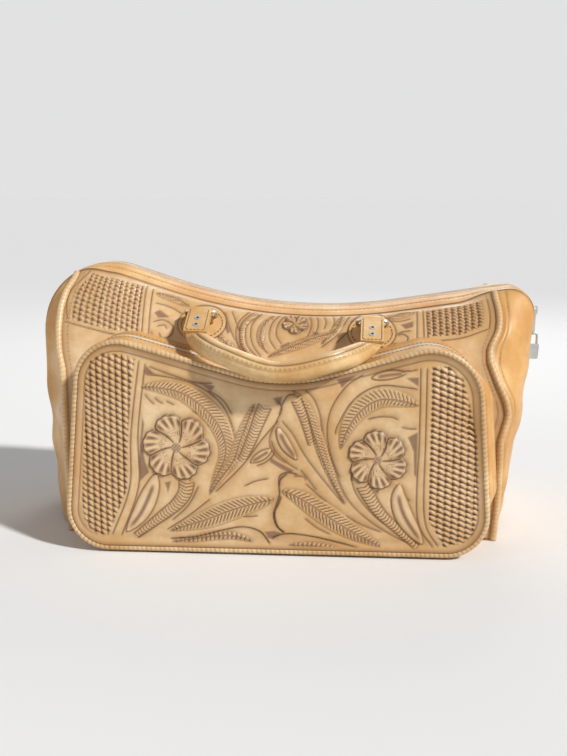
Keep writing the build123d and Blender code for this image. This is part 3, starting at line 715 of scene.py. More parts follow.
def pocket_face():
    """The carved panel, trimmed to its outline and closed by walls and a plain back."""
    mesh, across, up = sheet_grid(POCKET_WIDE, POCKET_TALL)
    x, z = POCKET_LEFT + POCKET_WIDE * across, POCKET_FOOT + POCKET_TALL * up
    carved = pocket_tooling(x, z)
    edge = pocket_outline(2.2)
    from_edge = np.abs(along(np.array(edge + edge[:1]), x, z)[1])
    crown = 3.0 * ramp(from_edge, 0, 60) - 1.2 * bell(from_edge - 9, 5)
    soft = 1.1 * np.sin(x / 37 + 0.8) * np.cos(z / 31) + 0.8 * np.sin(x / 19 - z / 26)
    dent = 1.6 * np.exp(-((x - 188) / 8) ** 2 - ((z - 132) / 12) ** 2)
    carved_share = ramp(from_edge, 3.5, 6)
    rim_cut = bell(from_edge - 7.6, 0.75) * ramp(z, 14, 30)
    out = crown + soft * ramp(from_edge, 2, 12) * 0.8 - dent + carved.height * carved_share - 0.5 * rim_cut
    set_places(mesh, np.column_stack([x, -POCKET_FRONT - 0.4 - out, z]))
    shade = 0.6 * bell(from_edge, 2.6) + 0.2 * bell(from_edge, 9)
    cut = darkest(carved.cut * carved_share, shade, 0.75 * rim_cut)
    column, row = np.rint(across * POCKET_WIDE).astype(int), np.rint(up * POCKET_TALL).astype(int)
    cut_and_shade_grid = np.zeros((POCKET_WIDE + 1, POCKET_TALL + 1))
    cut_and_shade_grid[column, row] = cut
    # crest lightens the raised carving, partly as wear and partly as painted highlight
    set_marks(mesh, cut=cut, mat=carved.mat, wash=burnished(cut_and_shade_grid)[column, row],
              crest=ramp(carved.height, *CREST))
    bm = bmesh.new()
    bm.from_mesh(mesh)
    bm.verts.ensure_lookup_table()
    outside = np.flatnonzero(~inside(edge, x, z))
    bmesh.ops.delete(bm, geom=[bm.verts[i] for i in outside], context="VERTS")
    walls = bmesh.ops.extrude_edge_only(bm, edges=[e for e in bm.edges if e.is_boundary])["geom"]
    for v in walls:
        if isinstance(v, bmesh.types.BMVert):
            v.co.y = -POCKET_WALL * MM
    rim = [e for e in walls if isinstance(e, bmesh.types.BMEdge) and e.is_boundary]
    bmesh.ops.holes_fill(bm, edges=rim, sides=0)
    bmesh.ops.recalc_face_normals(bm, faces=bm.faces[:])
    bm.to_mesh(mesh)
    bm.free()
    return mesh


add_piece("pocket_face", pocket_face(), "bag", finish_tooled, ("pocket_panel",))

# Shell: soft waves that the sewn seams and the end panels share

right_wave = ((0, 45, 108, 135, 149, 166, 186, 199, 215, 225, 240, 256), (0, 3, 3, 10, 7, -1, -9, -9, 0, 2, 2, 0))
left_wave = ((0, 150, 176, 193, 213, 236, 255, 272), (0, 0, -2, -6, -8, -8, -5, 0))
SEAM_X, BAND_HALF, LEATHER, INNER = 222, 32, 3.0, 2.6
ridge_corners = [(-260, 186), (-264, 306), (-2, 221), (271, 261), (259, 186)]
ridge_bends = [70, 526, 27]


def settled(p):
    """Places on the shell, moved as the soft leather sags and its front seams wander."""
    p = p.copy()
    front = ramp(-p[..., 1], 34, 62)
    smooth_z = np.linspace(0, 280, 561)
    for (levels, shifts), seam, reach in ((right_wave, SEAM_X, 26), (left_wave, -SEAM_X, 30)):
        shift = np.convolve(np.pad(np.interp(smooth_z, levels, shifts), 8, mode="edge"), np.ones(17) / 17, "valid")
        p[..., 0] += np.interp(p[..., 2], smooth_z, shift) * front * bell(p[..., 0] - seam, reach)
    return p


shell_rays = cad_tree("front_panel")
RAY_Y, RAY_Z = -8, 118
LOW_ROWS, HIGH_ROWS, BACK_ROWS, CARVED_FROM = 34, 118, 14, 150.0
columns = np.linspace(-SEAM_X + 1, SEAM_X - 1, 421)
stations = np.linspace(-SEAM_X + 7, SEAM_X - 7, 49)


def shell_section(x):
    """Outer line of the front panel at one x, from the floor up to the zip band, in mm."""
    line = []
    for angle in np.radians(np.arange(-57, 88, 1.5)):
        way = Vector((0, -math.cos(angle), math.sin(angle)))
        hit, normal, face, gap = shell_rays.ray_cast(Vector((x, RAY_Y, RAY_Z)) * MM, way)
        if hit is None or abs(hit.y / MM + BAND_HALF) < 0.3:
            continue
        line.append(np.array(hit) / MM + np.array(normal if normal.dot(way) > 0 else -normal) * LEATHER)
    line = [p for p in line if p[2] > 3.2 and p[1] < -BAND_HALF - 0.3]
    line.insert(0, line[0] * np.array([1, 1, 0]) + np.array([0, 0.8, 0.5]))
    top_way = line[-1] - line[-2]
    line.append(line[-1] + top_way * ((-BAND_HALF + 0.6 - line[-1][1]) / top_way[1]))
    return np.array(line)


def section_rows(x):
    """Places up the front panel at one x, few below the carving and many on it, with their lengths up the leather."""
    line = shell_section(x)
    runs = np.concatenate([[0], np.cumsum(np.linalg.norm(np.diff(line, axis=0), axis=1))])
    low = np.interp(CARVED_FROM, line[:, 2], runs)
    at = np.concatenate([np.linspace(0, low, LOW_ROWS, endpoint=False), np.linspace(low, runs[-1], HIGH_ROWS)])
    return np.column_stack([np.interp(at, runs, line[:, k]) for k in range(3)]), at - low + CARVED_FROM


def to_columns(values):
    """Rows of values at the stations, spread to all columns."""
    return np.array([np.interp(columns, stations, row) for row in values.T]).T


def droop_share(x):
    """How much the outer edge of a zip band sags: most in the middle of the bag, little at its ends."""
    return 0.15 + 0.85 * ramp(SEAM_X - np.abs(x), 2, 40)


station_rows, station_up = (np.array(part) for part in zip(*map(section_rows, stations)))
shell_up = to_columns(station_up)
shell = np.stack([to_columns(station_rows[:, :, k]) for k in range(3)], axis=2)
shell = smoothed(smoothed(shell, 9, 0), 3, 1)
shell[:, :, 0] = columns[:, None]
ridge = np.array(bent_path(ridge_corners, ridge_bends, steps=40))
ridge_top = ridge[(ridge[:, 0] > -230) & (ridge[:, 0] < 240)]
ridge_top = ridge_top[np.argsort(ridge_top[:, 0])]
BAND_DROOP, BAND_SPREAD, ZIP_HALF, HEM_ROWS = 8.0, 3.6, 7, 22
upper_edge = np.column_stack([columns, 0.4 - BAND_HALF - BAND_SPREAD * droop_share(columns),
                              np.interp(columns, *ridge_top.T) - 0.4 - BAND_DROOP * droop_share(columns)])
hem = ramp(np.arange(shell.shape[1]), shell.shape[1] - HEM_ROWS, shell.shape[1] - 1)
shell += hem[None, :, None] * (upper_edge - shell[:, -1])[:, None, :]
shell_out = sheet_outs(shell)
shell_out *= np.sign(-shell_out[:, :1, 1:2])


def panel_tooling(x, z):
    t = Tooling(x, z)
    for corners in ([(-134, 238), (-127, 242), (-114, 232), (-128, 231)],
                    [(-66, 240), (-62, 244), (-52, 218), (-56, 214)],
                    [(-3, 203), (8, 208), (14, 204), (2, 198)], [(32, 222), (40, 220), (38, 212), (30, 214)],
                    [(70, 236), (80, 240), (76, 222)], [(122, 230), (137, 235), (137, 226), (128, 223)]):
        t.matted(corners)
    t.weave([(-215, 262), (-204, 292), (-146, 276), (-146, 214), (-176, 216), (-211, 226)], pitch_x=5.6, pitch_z=5.6)
    t.weave([(149, 250), (209, 264), (207, 226), (186, 216), (149, 213)], slant=-42, pitch_x=6.4, pitch_z=4.4)
    for points in ([(-143, 208), (-144, 280)], [(-136, 206), (-137, 272)],
                   [(140, 206), (141, 250)], [(147, 206), (147, 252)]):
        t.knife(points, 0.8, 0.6)
    for points in ([(-219, 226), (-176, 213), (-150, 210)], [(152, 209), (186, 213), (214, 224)],
                   [(-214, 225), (-218, 262), (-206, 296)], [(212, 222), (213, 242), (213, 266)]):
        t.knife(points, 0.8, 0.5)
    # Stems and petal lines behind the handle and beside its patches
    for points in (
        [(-134, 250), (-116, 245), (-102, 236)],
        [(-134, 226), (-122, 229), (-112, 222), (-113, 212), (-122, 209), (-126, 216)],
        [(-130, 221), (-121, 223), (-117, 217)], [(-134, 218), (-131, 208), (-120, 203)],
        [(-61, 246), (-50, 214), (-33, 186)], [(-54, 248), (-42, 216), (-26, 186)],
        [(-74, 234), (-59, 208), (-42, 188)],
        [(-33, 250), (-46, 228), (-45, 205), (-34, 187)], [(-20, 248), (-31, 228), (-30, 206), (-19, 189)],
        [(0, 248), (-10, 231), (-12, 212), (-4, 197)], [(6, 248), (-3, 233), (-5, 216), (2, 203)],
        [(26, 248), (31, 233), (28, 217), (17, 206)], [(34, 249), (38, 233), (35, 218), (24, 208)],
        [(41, 249), (46, 235), (44, 222)], [(50, 249), (55, 236), (52, 224)],
        [(72, 246), (64, 229), (55, 214), (40, 200)],
        [(80, 240), (70, 222), (56, 205)], [(136, 222), (124, 220), (112, 212)],
        [(104, 216), (114, 207), (126, 207), (131, 213), (125, 218), (119, 215)], [(86, 206), (100, 204), (112, 199)],
        [(108, 236), (122, 234), (136, 238)],
    ):
        t.knife(points, 0.7, 0.5, 0.5)
    for points, left, right, pitch, lean in (
        ([(-133, 263), (-114, 258), (-96, 247)], 6, 6, 2.9, 0.9),
        ([(140, 248), (124, 244), (104, 235)], 5, 5, 2.7, 0.9),
        ([(-8, 243), (-19, 227), (-21, 209), (-12, 193)], 5, 4, 2.6, 0.7),
        ([(64, 246), (58, 226), (42, 205)], 4.5, 4.5, 2.6, 0.6),
        ([(57, 220), (34, 212), (10, 201), (-13, 190)], 6, 5, 2.7, 0.9),
        ([(-66, 214), (-50, 199), (-30, 185)], 4.5, 4, 2.6, 0.8),
    ):
        t.leaf(points, left, right, pitch, lean)
    t.ribs([(-26, 246), (-39, 227), (-38, 204), (-25, 187)], 3.6, 2.6, 2.6)
    t.flower((14, 231), 13.5, 15, 5, 3)
    return t


HANDLE_X, HALF_SPAN, LOOP_Y, LOOP_Z, LOOP_FALL, RING_REACH = 6, 88, 70.5, 223, 8, 13.0
PATCH_HALF_X, PATCH_HALF_Z, PATCH_Z = 24, 16, 216
patch_centres = [(HANDLE_X + end * HALF_SPAN, PATCH_Z - end * LOOP_FALL / 2) for end in (-1, 1)]
panel = panel_tooling(np.repeat(columns[:, None], shell.shape[1], axis=1).ravel(), shell_up.ravel())
lift, panel_cut_and_shade, panel_mat = (values.reshape(shell_up.shape) for values in (panel.height, panel.cut, panel.mat))


def seam_shade():
    """Dark of the front panel beside the zip band, the seams and their sewn rows, and round the handle patches."""
    from_band = shell_up[:, -1:] - shell_up
    from_seam = (SEAM_X - np.abs(columns))[:, None]
    shades = [0.65 * bell(from_band, 2.2) + 0.2 * bell(from_band, 9),
              0.55 * bell(from_seam, 4.5) + 0.2 * bell(from_seam, 14)]
    for patch_x, patch_z in patch_centres:
        reach = np.hypot((shell[:, :, 0] - patch_x) / PATCH_HALF_X, (shell[:, :, 2] - patch_z) / PATCH_HALF_Z)
        shades.append(0.8 * bell(reach - 1.03, 0.05))
    holes, groove = sewn(shell_up, from_seam - 9)
    return darkest(*shades, 0.85 * holes, 0.3 * groove)


# Knife cuts of the carving, with painted shade beside the zip band, the seams and the handle patches
front_cut_and_shade = np.maximum(panel_cut_and_shade, seam_shade())
front_outer = settled(shell + shell_out * (0.2 + lift[:, :, None]))
back_pick = np.rint(np.linspace(shell.shape[1] - 1, 0, BACK_ROWS)).astype(int)
front_inner = settled(shell - shell_out * INNER)[:, back_pick]
# crest lightens the raised carving, partly as wear and partly as painted highlight
front_mesh = wrapped_sheet(np.concatenate([front_outer, front_inner, front_outer[:, :1]], axis=1), cut=front_cut_and_shade,
                           mat=panel_mat, crest=ramp(lift, *CREST), wash=burnished(front_cut_and_shade))
add_piece("front_face", front_mesh, "bag", finish_tooled, ("front_panel",))

# End panels: plain leather that runs from seam to seam round each end, under the zip band

LEVELS = (0, 0.42, 0.78, 1)
body_halves, turn_halves, end_halves = (95, 100, 84, 32), (67, 74, 61, 32), (33, 41, 37, 32)
END_ROWS, TURN_COLUMNS, FLAT_COLUMNS, TUCK_ROWS, TUCK_X, END_THICK = 130, 60, 44, 5, 212, 1.6
RAY_START, RAY_REACH = 14, 24


def through(knots, values, at):
    """A smooth curve through values at knots."""
    total = 0
    for i, k in enumerate(knots):
        share = 1
        for j, other in enumerate(knots):
            if j != i:
                share = share * (at - other) / (k - other)
        total = total + share * values[i]
    return total


left_end, _, _, left_turn = corner_bend(*ridge_corners[0:3], ridge_bends[0])
_, right_end, _, right_turn = corner_bend(*ridge_corners[2:5], ridge_bends[2])
ends = {
    "left": (-SEAM_X, [(left_turn, (-236, 2), turn_halves), (left_end, (-250, 6), end_halves)]),
    "right": (SEAM_X, [(right_turn, (229, 5), turn_halves), (right_end, (234, 14), end_halves)]),
}
level = np.linspace(0, 1, END_ROWS)
fine_ridge = evenly(ridge, 0.5)[0]


def end_sheet(seam, bends):
    """Places of an end panel in rows from its foot up, from the front seam round to the back one."""
    seam_top = (seam, np.interp(seam, *ridge_top.T))
    sections = []
    for top, foot, halves in [(seam_top, (seam, 0), body_halves)] + bends:
        rise = np.array(foot) + (np.array(top) - np.array(foot)) * level[:, None]
        sections.append(np.column_stack([rise[:, 0], -through(LEVELS, halves, level), rise[:, 1]]))
    across = np.linspace(0, 2, TURN_COLUMNS)
    turn = np.array([through((0, 1, 2), sections, at) for at in across])
    tops = [np.argmin(np.hypot(*(fine_ridge - np.array(top)).T)) for top in (seam_top, bends[0][0], bends[1][0])]
    under_band = fine_ridge[np.rint(np.interp(across, (0, 1, 2), tops)).astype(int)]
    turn[:, :, ::2] += ramp(level, 0.72, 1)[None, :, None] * (under_band - turn[:, -1, ::2])[:, None, :]
    sides = np.linspace(-1, 1, FLAT_COLUMNS + 2)[1:-1]
    flat = np.array([sections[2] * np.array([1, -share, 1]) for share in sides])
    return np.concatenate([turn, flat, (turn * np.array([1, -1, 1]))[::-1]])


def end_drift(name, sheet, outs):
    """How far the solid end panel stands out of a sheet, smoothed."""
    rays = cad_tree(name)
    drift = np.full(sheet.shape[:2], np.nan)
    for i, j in np.ndindex(drift.shape):
        start = Vector((sheet[i, j] + RAY_START * outs[i, j]) * MM)
        hit, normal, face, gap = rays.ray_cast(start, Vector(-outs[i, j]), RAY_REACH * MM)
        if hit is not None:
            drift[i, j] = RAY_START - gap / MM
    drift = np.where(np.isfinite(drift), drift, np.nanmedian(drift))
    return smoothed(smoothed(np.clip(drift, -6, 6), 3, 0), 3, 1) * ramp(level, 0.95, 0.78)[None, :]


def end_face(end_name, seam, bends):
    sheet = end_sheet(seam, bends)
    outs = sheet_outs(sheet)
    outs *= np.sign(seam) * np.sign(outs[TURN_COLUMNS + FLAT_COLUMNS // 2, END_ROWS // 2, 0])
    outs = smoothed(smoothed(outs, 3, 0), 3, 1)
    drift = end_drift(f"{end_name}_end_panel", sheet, outs)
    px, py, pz = sheet[:, :, 0], sheet[:, :, 1], sheet[:, :, 2]
    loose = ramp(np.abs(px), SEAM_X + 1, SEAM_X + 12) * ramp(pz, 6, 30)
    sag = 1.7 * np.sin(pz / 17 + py / 23) * np.sin(py / 19 + pz / 41) + 0.9 * np.sin(pz / 8 - py / 12)
    under = ramp(BAND_HALF + 1.6 - np.abs(py), 0, 1.4) * ramp(pz, 181, 185)
    steps_across = np.linalg.norm(np.diff(sheet, axis=0, prepend=sheet[:1]), axis=2)
    seam_gap = np.minimum(np.cumsum(steps_across, axis=0), np.cumsum(steps_across[::-1], axis=0)[::-1])
    above_foot = ramp(pz, 8, 30)
    welt = bell(seam_gap - 8.0, 2.2) * ramp(level, 0.97, 0.85)[None, :] * above_foot
    holes, groove = sewn(pz, seam_gap - 11.6)
    slack = sag * loose * (1 - under) * ramp(level, 0.97, 0.7)[None, :]
    push = drift + slack - 4.4 * under + 1.5 * welt - 0.4 * groove
    # Painted shade beside the seams and beside the zip band; the sewn holes and their groove are darkened too
    beside_band = bell(np.abs(py) - BAND_HALF - 1.2, 1.6) * ramp(pz, 178, 186)
    cut = darkest(0.7 * bell(seam_gap, 4.0), np.maximum(0.8 * holes, 0.35 * groove) * above_foot,
                  0.6 * beside_band)
    outer = settled(sheet + outs * push[:, :, None])
    inner = settled(sheet + outs * (push - END_THICK)[:, :, None])[:, ::-4]
    tucked = outer[:, :1].copy()
    tucked[:, :, 0] = np.sign(seam) * np.minimum(np.abs(tucked[:, :, 0]), TUCK_X)
    tucked[:, :, 2] = np.minimum(tucked[:, :, 2], 2.0)
    tuck = tucked + np.linspace(0, 1, TUCK_ROWS + 1)[:-1, None] * (outer[:, :1] - tucked)
    tuck_inner = (tuck + np.array([0, 0, END_THICK]))[:, ::-1]
    loop = np.concatenate([tuck, outer, inner, tuck_inner, tuck[:, :1]], axis=1)
    return wrapped_sheet(loop, cut=np.pad(cut, ((0, 0), (TUCK_ROWS, 0))))


for end_name, (seam, bends) in ends.items():
    add_piece(f"{end_name}_end_face", end_face(end_name, seam, bends), "bag", finish_plain,
              (f"{end_name}_end_panel",))

# Back panel: the same plain leather as the ends, the front panel's shape turned about

def back_face():
    sheet, outs = shell[::3, ::2], shell_out[::3, ::2]
    px, pz = sheet[:, :, 0], sheet[:, :, 2]
    slack = 1.5 * np.sin(px / 43 + pz / 37) + 0.9 * np.sin(px / 21 - pz / 27)
    slack = slack * ramp(pz, 6, 40) * ramp(SEAM_X - np.abs(px), 4, 40)
    outer = sheet + outs * slack[:, :, None]
    loop = np.concatenate([outer, (sheet - outs * INNER)[:, ::-1], outer[:, :1]], axis=1)
    return wrapped_sheet(loop * np.array([1, -1, 1]))


add_piece("back_face", back_face(), "bag", finish_plain, ("back_panel",))

# Piping: thin leather wound over a cord

CORD_STEP, CORD_TURN, CORD_AROUND, POCKET_CORD_Y = 1.15, 4.6, 14, -153.2


def cord(name, path, side, radius, depth, dark, stands_for):
    """Piping along a path, wound once each CORD_TURN, with the depth and dark of the winding."""

    def winding(at, angle):
        return np.cos(angle - 2 * np.pi * at * CORD_STEP / CORD_TURN)

    def reach(at, angle, side, other):
        return radius * (1 - depth + depth * winding(at, angle))

    def shade(at, angle, side, other):
        return dark * ramp(-winding(at, angle), 0.55, 1.0)

    mesh = tube(path, np.tile(side, (len(path), 1)), reach, shade, CORD_AROUND)
    add_piece(name, mesh, "bag", finish_piping, (stands_for,))


for end_name, seam, seam_column in (("left", -SEAM_X, 0), ("right", SEAM_X, -1)):
    seam_line = shell[seam_column].copy()
    seam_line[:, 0] = seam
    seam_line = evenly(smoothed(seam_line, 2, 0)[:-2], CORD_STEP)[0]
    for side_name, path in (("front", settled(seam_line)), ("back", seam_line * np.array([1, -1, 1]))):
        cord(f"{side_name}_{end_name}_cord", path, [1.0, 0, 0], 3.5, 0.03, 0.25, f"{side_name}_{end_name}_piping")
rim_line = pocket_outline(1.0)
rim_line = stood(evenly(rim_line + rim_line[:1], CORD_STEP)[0], POCKET_CORD_Y)
cord("pocket_cord", rim_line, [0, 1.0, 0], 3.0, 0.055, 0.45, "pocket_piping")

# Handles: a strip of leather rolled over a core, its sewn lip along the top

GRIP_R, GRIP_STEP, GRIP_AROUND, LIP_LOW, LIP_HIGH, END_THIN, END_WIDE = 10.3, 1.2, 84, 18, 46, 1.4, 9.2
# Name, side of the bag, angles of the rings and of the hang, and half the grip's line: across, down the hang, out of it
handles = (
    ("front", -1, 35, -28, [(-88, 26, 0), (-88, 40, 0), (-77, 66, 9), (-48, 91, 14), (0, 104, 9)]),
    ("rear", 1, -10, -42, [(-88, 26, 0), (-88, 40, 0), (-79, 62, -9), (-48, 78, -26), (0, 84, -35)]),
)


def handle_ways(side, ring_angle, hang_angle):
    """Bar of the rings, and the ways across, along the hang and out of the handle."""
    across_way = unit(np.array([2 * HALF_SPAN, 0, -LOOP_FALL], float))

    def square(angle):
        way = np.array([0, side * math.cos(math.radians(angle)), math.sin(math.radians(angle))])
        return unit(way - across_way * (way @ across_way))

    hang = square(hang_angle)
    rise = np.cross(across_way, hang)
    bar = np.array([HANDLE_X, side * LOOP_Y, LOOP_Z]) + RING_REACH * square(ring_angle)
    return bar, across_way, hang, rise * np.sign(rise[2])


def grip_roll(side, ring_angle, hang_angle, half):
    bar, across_way, hang, rise = handle_ways(side, ring_angle, hang_angle)
    run = half + [(-x, down, up_by) for x, down, up_by in half[-2::-1]]
    line = flowing([bar + across_way * x + hang * down + rise * up_by for x, down, up_by in run], 20)
    path, ways, at = evenly(smoothed(line, 3, 0), GRIP_STEP)
    full = ramp(np.minimum(at, at[-1] - at), LIP_LOW - 2, LIP_HIGH)
    thick, wide = END_THIN + (GRIP_R - END_THIN) * full, END_WIDE + (GRIP_R - END_WIDE) * full
    seen = np.array([0, side * 0.62, 0.78])

    def lip_turn(at, angle, side_way, other):
        """Angle round the roll from the top that is seen, growing towards the lip."""
        top = np.arctan2(other[at] @ seen, side_way[at] @ seen)
        turn = (angle - top + np.pi) % (2 * np.pi) - np.pi
        return turn * side * np.sign(np.cross(ways[at], side_way[at])[:, 2] + 1e-9)

    def rolled(at, angle, side_way, other):
        oval = 1 / np.sqrt((np.cos(angle) / wide[at]) ** 2 + (np.sin(angle) / thick[at]) ** 2)
        turn = lip_turn(at, angle, side_way, other)
        lip = full[at] * (1.8 * np.exp(-((turn - 0.44) / 0.24) ** 4) - 1.5 * bell(turn - 0.06, 0.12))
        return oval + lip + 0.25 * full[at] * np.sin(at / 7.0 + 2 * angle)

    def shade(at, angle, side_way, other):
        turn = lip_turn(at, angle, side_way, other)
        holes, groove = sewn(at * GRIP_STEP, (turn - 0.52) * GRIP_R)
        # The roll is darker on its sides turned away from its top
        far_side_dark = 0.22 * ramp(np.abs(turn), 1.3, 2.4) * (0.6 + 0.4 * np.sin(at / 5.0 + 3 * angle))
        # Painted shade in the groove under the lip
        return full[at] * darkest(0.85 * bell(turn - 0.08, 0.13), 0.7 * holes, far_side_dark)

    return tube(path, np.cross(ways, np.tile(rise, (len(path), 1))), rolled, shade, GRIP_AROUND)


for side_name, *shape in handles:
    add_piece(f"{side_name}_grip_roll", grip_roll(*shape), f"{side_name}_handle", finish_strap,
              (f"{side_name}_handle_grip",))

# Zip bands: two strips that droop from the zip, each sewn twice

BAND_STEP, BAND_POINTS, BAND_PITCH, SEWN_SHARES = 1.5, 30, 5.0, (0.24, 0.72)


def band_strip(side):
    path, ways, at = evenly(ridge, BAND_STEP)
    sags = droop_share(path[:, 0])[:, None]
    share = np.linspace(0, 1, BAND_POINTS)
    reach = ZIP_HALF + (BAND_HALF - ZIP_HALF + BAND_SPREAD * sags) * share
    sink = BAND_DROOP * sags * share ** 1.4
    offs = [(reach - ZIP_HALF) - (BAND_HALF - ZIP_HALF) * row for row in SEWN_SHARES]
    holes, groove = (np.maximum(*marks) for marks in zip(*[sewn(at[:, None], off, BAND_PITCH) for off in offs]))
    puff = 0.7 * np.sin(np.pi * share) ** 0.5 - 0.5 * groove - 0.4 * holes
    lips = 0.8 * ramp(share, 0.965, 1.0) + 0.3 * ramp(share, 0.06, 0.0)
    cut = darkest(0.95 * holes, 0.25 * groove, lips)
    middle = stood(path, 0)[:, None, :] + np.array([0, side, 0]) * reach[:, :, None]
    out = left_of(ways)[:, None, :]
    outer = middle + out * (puff - sink)[:, :, None]
    inner = (middle - out * (sink + INNER)[:, :, None])[:, ::-3]
    return wrapped_sheet(np.concatenate([outer, inner, outer[:, :1]], axis=1),
                         cut=np.concatenate([cut, np.zeros(inner.shape[:2]), cut[:, :1]], axis=1))


for side_name, side in (("front", -1), ("back", 1)):
    add_piece(f"{side_name}_band_strip", band_strip(side), "bag", finish_plain,
              (f"{side_name}_zip_band",))

TOOTH_STEP, TOOTH_OFF, TOOTH = 2.1, 1.35, (1.15, 2.3, 0.9)
path, ways, _ = evenly(ridge, TOOTH_STEP)
teeth = studs(np.vstack([stood(path, -TOOTH_OFF), stood(path, TOOTH_OFF)]), np.vstack([stood(ways, 0)] * 2),
              np.vstack([left_of(ways)] * 2), TOOTH)
add_piece("main_zip_teeth", teeth, "bag", finish_coil)

# Thread: rows sewn along the pocket bands, round the handle patches and round the tabs

THREAD = (2.5, 1.0, 0.8)
POCKET_ROWS, POCKET_PITCH, PATCH_TURN, PATCH_INSET = (-122.5, -103.5), 4.2, 12.5, 3
TAB_PITCH, TAB_INSET, TAB_TOP, TAB_HALF, TAB_LENGTH, TAB_FACE = 3.8, 2.2, 5, 11.5, 40.0, 4.2
RIVETS, RIVET_TOP, EYELET_R, EYELET_DEPTH = (18, 29), 5.0, 1.5, 0.5


def sew(name, rows, body):
    """Stitches along rows, each row its places and the ways out of the leather there."""
    ways = [np.gradient(places, axis=0) for places, outs in rows]
    mesh = studs(np.vstack([r[0] for r in rows]), np.vstack(ways), np.vstack([r[1] for r in rows]), THREAD)
    add_piece(name, mesh, body, finish_thread)


pocket_top = [p for p in pocket_outline(0.0)[10:-10] if p[1] > 166]
path, ways, _ = evenly(pocket_top, POCKET_PITCH)
sew("pocket_stitches", [(stood(path, y), left_of(ways)) for y in POCKET_ROWS], "bag")
turns = np.radians(np.arange(0, 360, PATCH_TURN))
for side_name, side in (("front", -1), ("rear", 1)):
    rows = []
    for (patch_x, patch_z), end_name in zip(patch_centres, ("left", "right")):
        ring = np.column_stack([patch_x + (PATCH_HALF_X - PATCH_INSET) * np.cos(turns),
                                patch_z + (PATCH_HALF_Z - PATCH_INSET) * np.sin(turns)])
        patch = cad_tree(f"{side_name}_{end_name}_handle_patch")
        rows.append(laid_on(patch, stood(ring, side * 200.0), (0, -side, 0)))
    sew(f"{side_name}_patch_stitches", rows, "bag")

edge_x, edge_down = TAB_HALF - TAB_INSET, TAB_LENGTH - TAB_INSET
tab_row = evenly([(-edge_x, TAB_TOP), (-edge_x, edge_down), (edge_x, edge_down), (edge_x, TAB_TOP)], TAB_PITCH)[0]
for side_name, side, ring_angle, hang_angle, _ in handles:
    bar, across_way, hang, rise = handle_ways(side, ring_angle, hang_angle)
    upright = Vector(rise).to_track_quat("Z", "Y").to_matrix().to_4x4()
    rows = []
    bm = bmesh.new()
    for end in (-1, 1):
        for face in (-1, 1):
            places = np.array([bar + across_way * (end * HALF_SPAN + x) + hang * down + rise * face * TAB_FACE
                               for x, down in tab_row])
            rows.append((places, np.tile(face * rise, (len(places), 1))))
            # Dark discs standing for the shade in the rivet holes
            for down in RIVETS:
                eye = bar + across_way * end * HALF_SPAN + hang * down + rise * face * RIVET_TOP
                bmesh.ops.create_cone(bm, cap_ends=True, segments=16, radius1=EYELET_R * MM, radius2=EYELET_R * MM,
                                      depth=EYELET_DEPTH * MM, matrix=Matrix.Translation(Vector(eye) * MM) @ upright)
    sew(f"{side_name}_tab_stitches", rows, f"{side_name}_handle")
    add_piece(f"{side_name}_eyelet_holes", made_mesh(bm), f"{side_name}_handle", finish_hole_shade)

# Pleats of the pocket's right side, pressed out behind the panel

PLEAT_STEP, PLEAT_LEAST, PLEAT_HALF, PLEAT_AROUND = 2.0, 0.6, 4.2, 20


def pleat(y, proud):
    right_side = [p for p in evenly(pocket_outline(1.5), PLEAT_STEP)[0] if p[0] > 150 and 34 < p[1] < 198]
    path, ways, at = evenly(right_side, PLEAT_STEP)
    fade = ramp(at, 0, 50) * ramp(at[-1] - at, 0, 34)

    def pressed(at, angle, side, other):
        return 1 / np.sqrt((np.cos(angle) / (PLEAT_LEAST + proud * fade[at])) ** 2
                           + (np.sin(angle) / (PLEAT_LEAST + PLEAT_HALF * fade[at])) ** 2)

    # Painted shade in the creases along both sides of the pleat
    def crease_shade(at, angle, side, other):
        return 0.75 * ramp(np.abs((angle + np.pi) % (2 * np.pi) - np.pi), 0.6, 1.4) * fade[at]

    return tube(stood(path, y), left_of(ways), pressed, crease_shade, PLEAT_AROUND)


for name, y, proud in (("near_pleat", -145.5, 7.5), ("far_pleat", -135, 12.5)):
    add_piece(name, pleat(y, proud), "bag", finish_plain)

# Camera, light and floor

camera_data = bpy.data.cameras.new("camera")
camera = bpy.data.objects.new("camera", camera_data)
bpy.context.scene.collection.objects.link(camera)
camera_data.sensor_fit = "AUTO"
camera_data.sensor_width = 36
camera_data.lens = 46.9
azimuth, elevation, distance = math.radians(4), math.radians(11), 1.1
aim = Vector((-0.002, 0, 0.150))
camera.location = aim + distance * Vector((
    math.sin(azimuth) * math.cos(elevation), -math.cos(azimuth) * math.cos(elevation), math.sin(elevation)))
camera.rotation_euler = (aim - camera.location).to_track_quat("-Z", "Y").to_euler()
bpy.context.scene.camera = camera


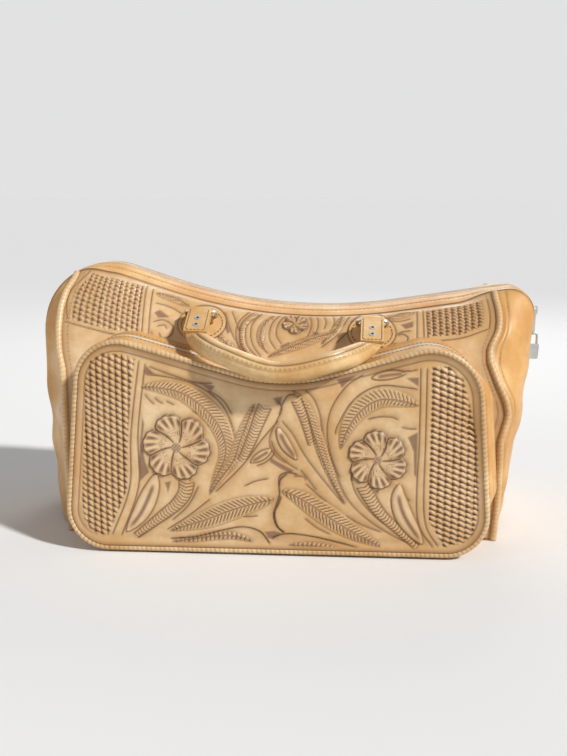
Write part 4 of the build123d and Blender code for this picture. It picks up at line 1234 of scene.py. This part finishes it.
def lamp(name, kind, place, size, power):
    data = bpy.data.lights.new(name, kind)
    data.energy = power
    if kind == "SUN":
        data.angle = math.radians(size)
    else:
        data.shape = "DISK"
        data.size = size
    lamp_object = bpy.data.objects.new(name, data)
    bpy.context.scene.collection.objects.link(lamp_object)
    lamp_object.location = place
    lamp_object.rotation_euler = (Vector((0, 0, 0.12)) - Vector(place)).to_track_quat("-Z", "Y").to_euler()


lamp("key", "SUN", (1.15, -0.8, 1.25), 5, 3.4)
lamp("fill", "AREA", (-1.5, -1.1, 0.8), 1.0, 4)
lamp("rim", "AREA", (0.3, 1.4, 1.3), 0.9, 7)
world = bpy.data.worlds.new("studio")
bpy.context.scene.world = world
world.use_nodes = True
tree = world.node_tree
glow = tree.nodes["Background"]
glow.inputs["Color"].default_value = (0.95, 0.96, 1.0, 1)
glow.inputs["Strength"].default_value = 0.24
backdrop = tree.nodes.new("ShaderNodeBackground")
backdrop.inputs["Color"].default_value = (0.76, 0.76, 0.765, 1)
path_light = tree.nodes.new("ShaderNodeLightPath")
seen_share = math_node(tree, "MAXIMUM", path_light.outputs["Is Camera Ray"], path_light.outputs["Is Transmission Ray"])
seen_share = math_node(tree, "MAXIMUM", seen_share, path_light.outputs["Is Glossy Ray"])
choice = tree.nodes.new("ShaderNodeMixShader")
tree.links.new(seen_share, choice.inputs[0])
tree.links.new(glow.outputs[0], choice.inputs[1])
tree.links.new(backdrop.outputs[0], choice.inputs[2])
tree.links.new(choice.outputs[0], tree.nodes["World Output"].inputs["Surface"])

bm = bmesh.new()
bmesh.ops.create_grid(bm, x_segments=1, y_segments=1, size=30)
floor_mesh = bpy.data.meshes.new("floor")
bm.to_mesh(floor_mesh)
bm.free()
floor = bpy.data.objects.new("floor", floor_mesh)
bpy.context.scene.collection.objects.link(floor)
floor_material, floor_tree, floor_shader = new_material("pale_floor")
floor_shader.inputs["Base Color"].default_value = (0.80, 0.80, 0.79, 1)
floor_shader.inputs["Roughness"].default_value = 0.9
floor_mesh.materials.append(floor_material)

bpy.context.scene.view_settings.view_transform = "Standard"
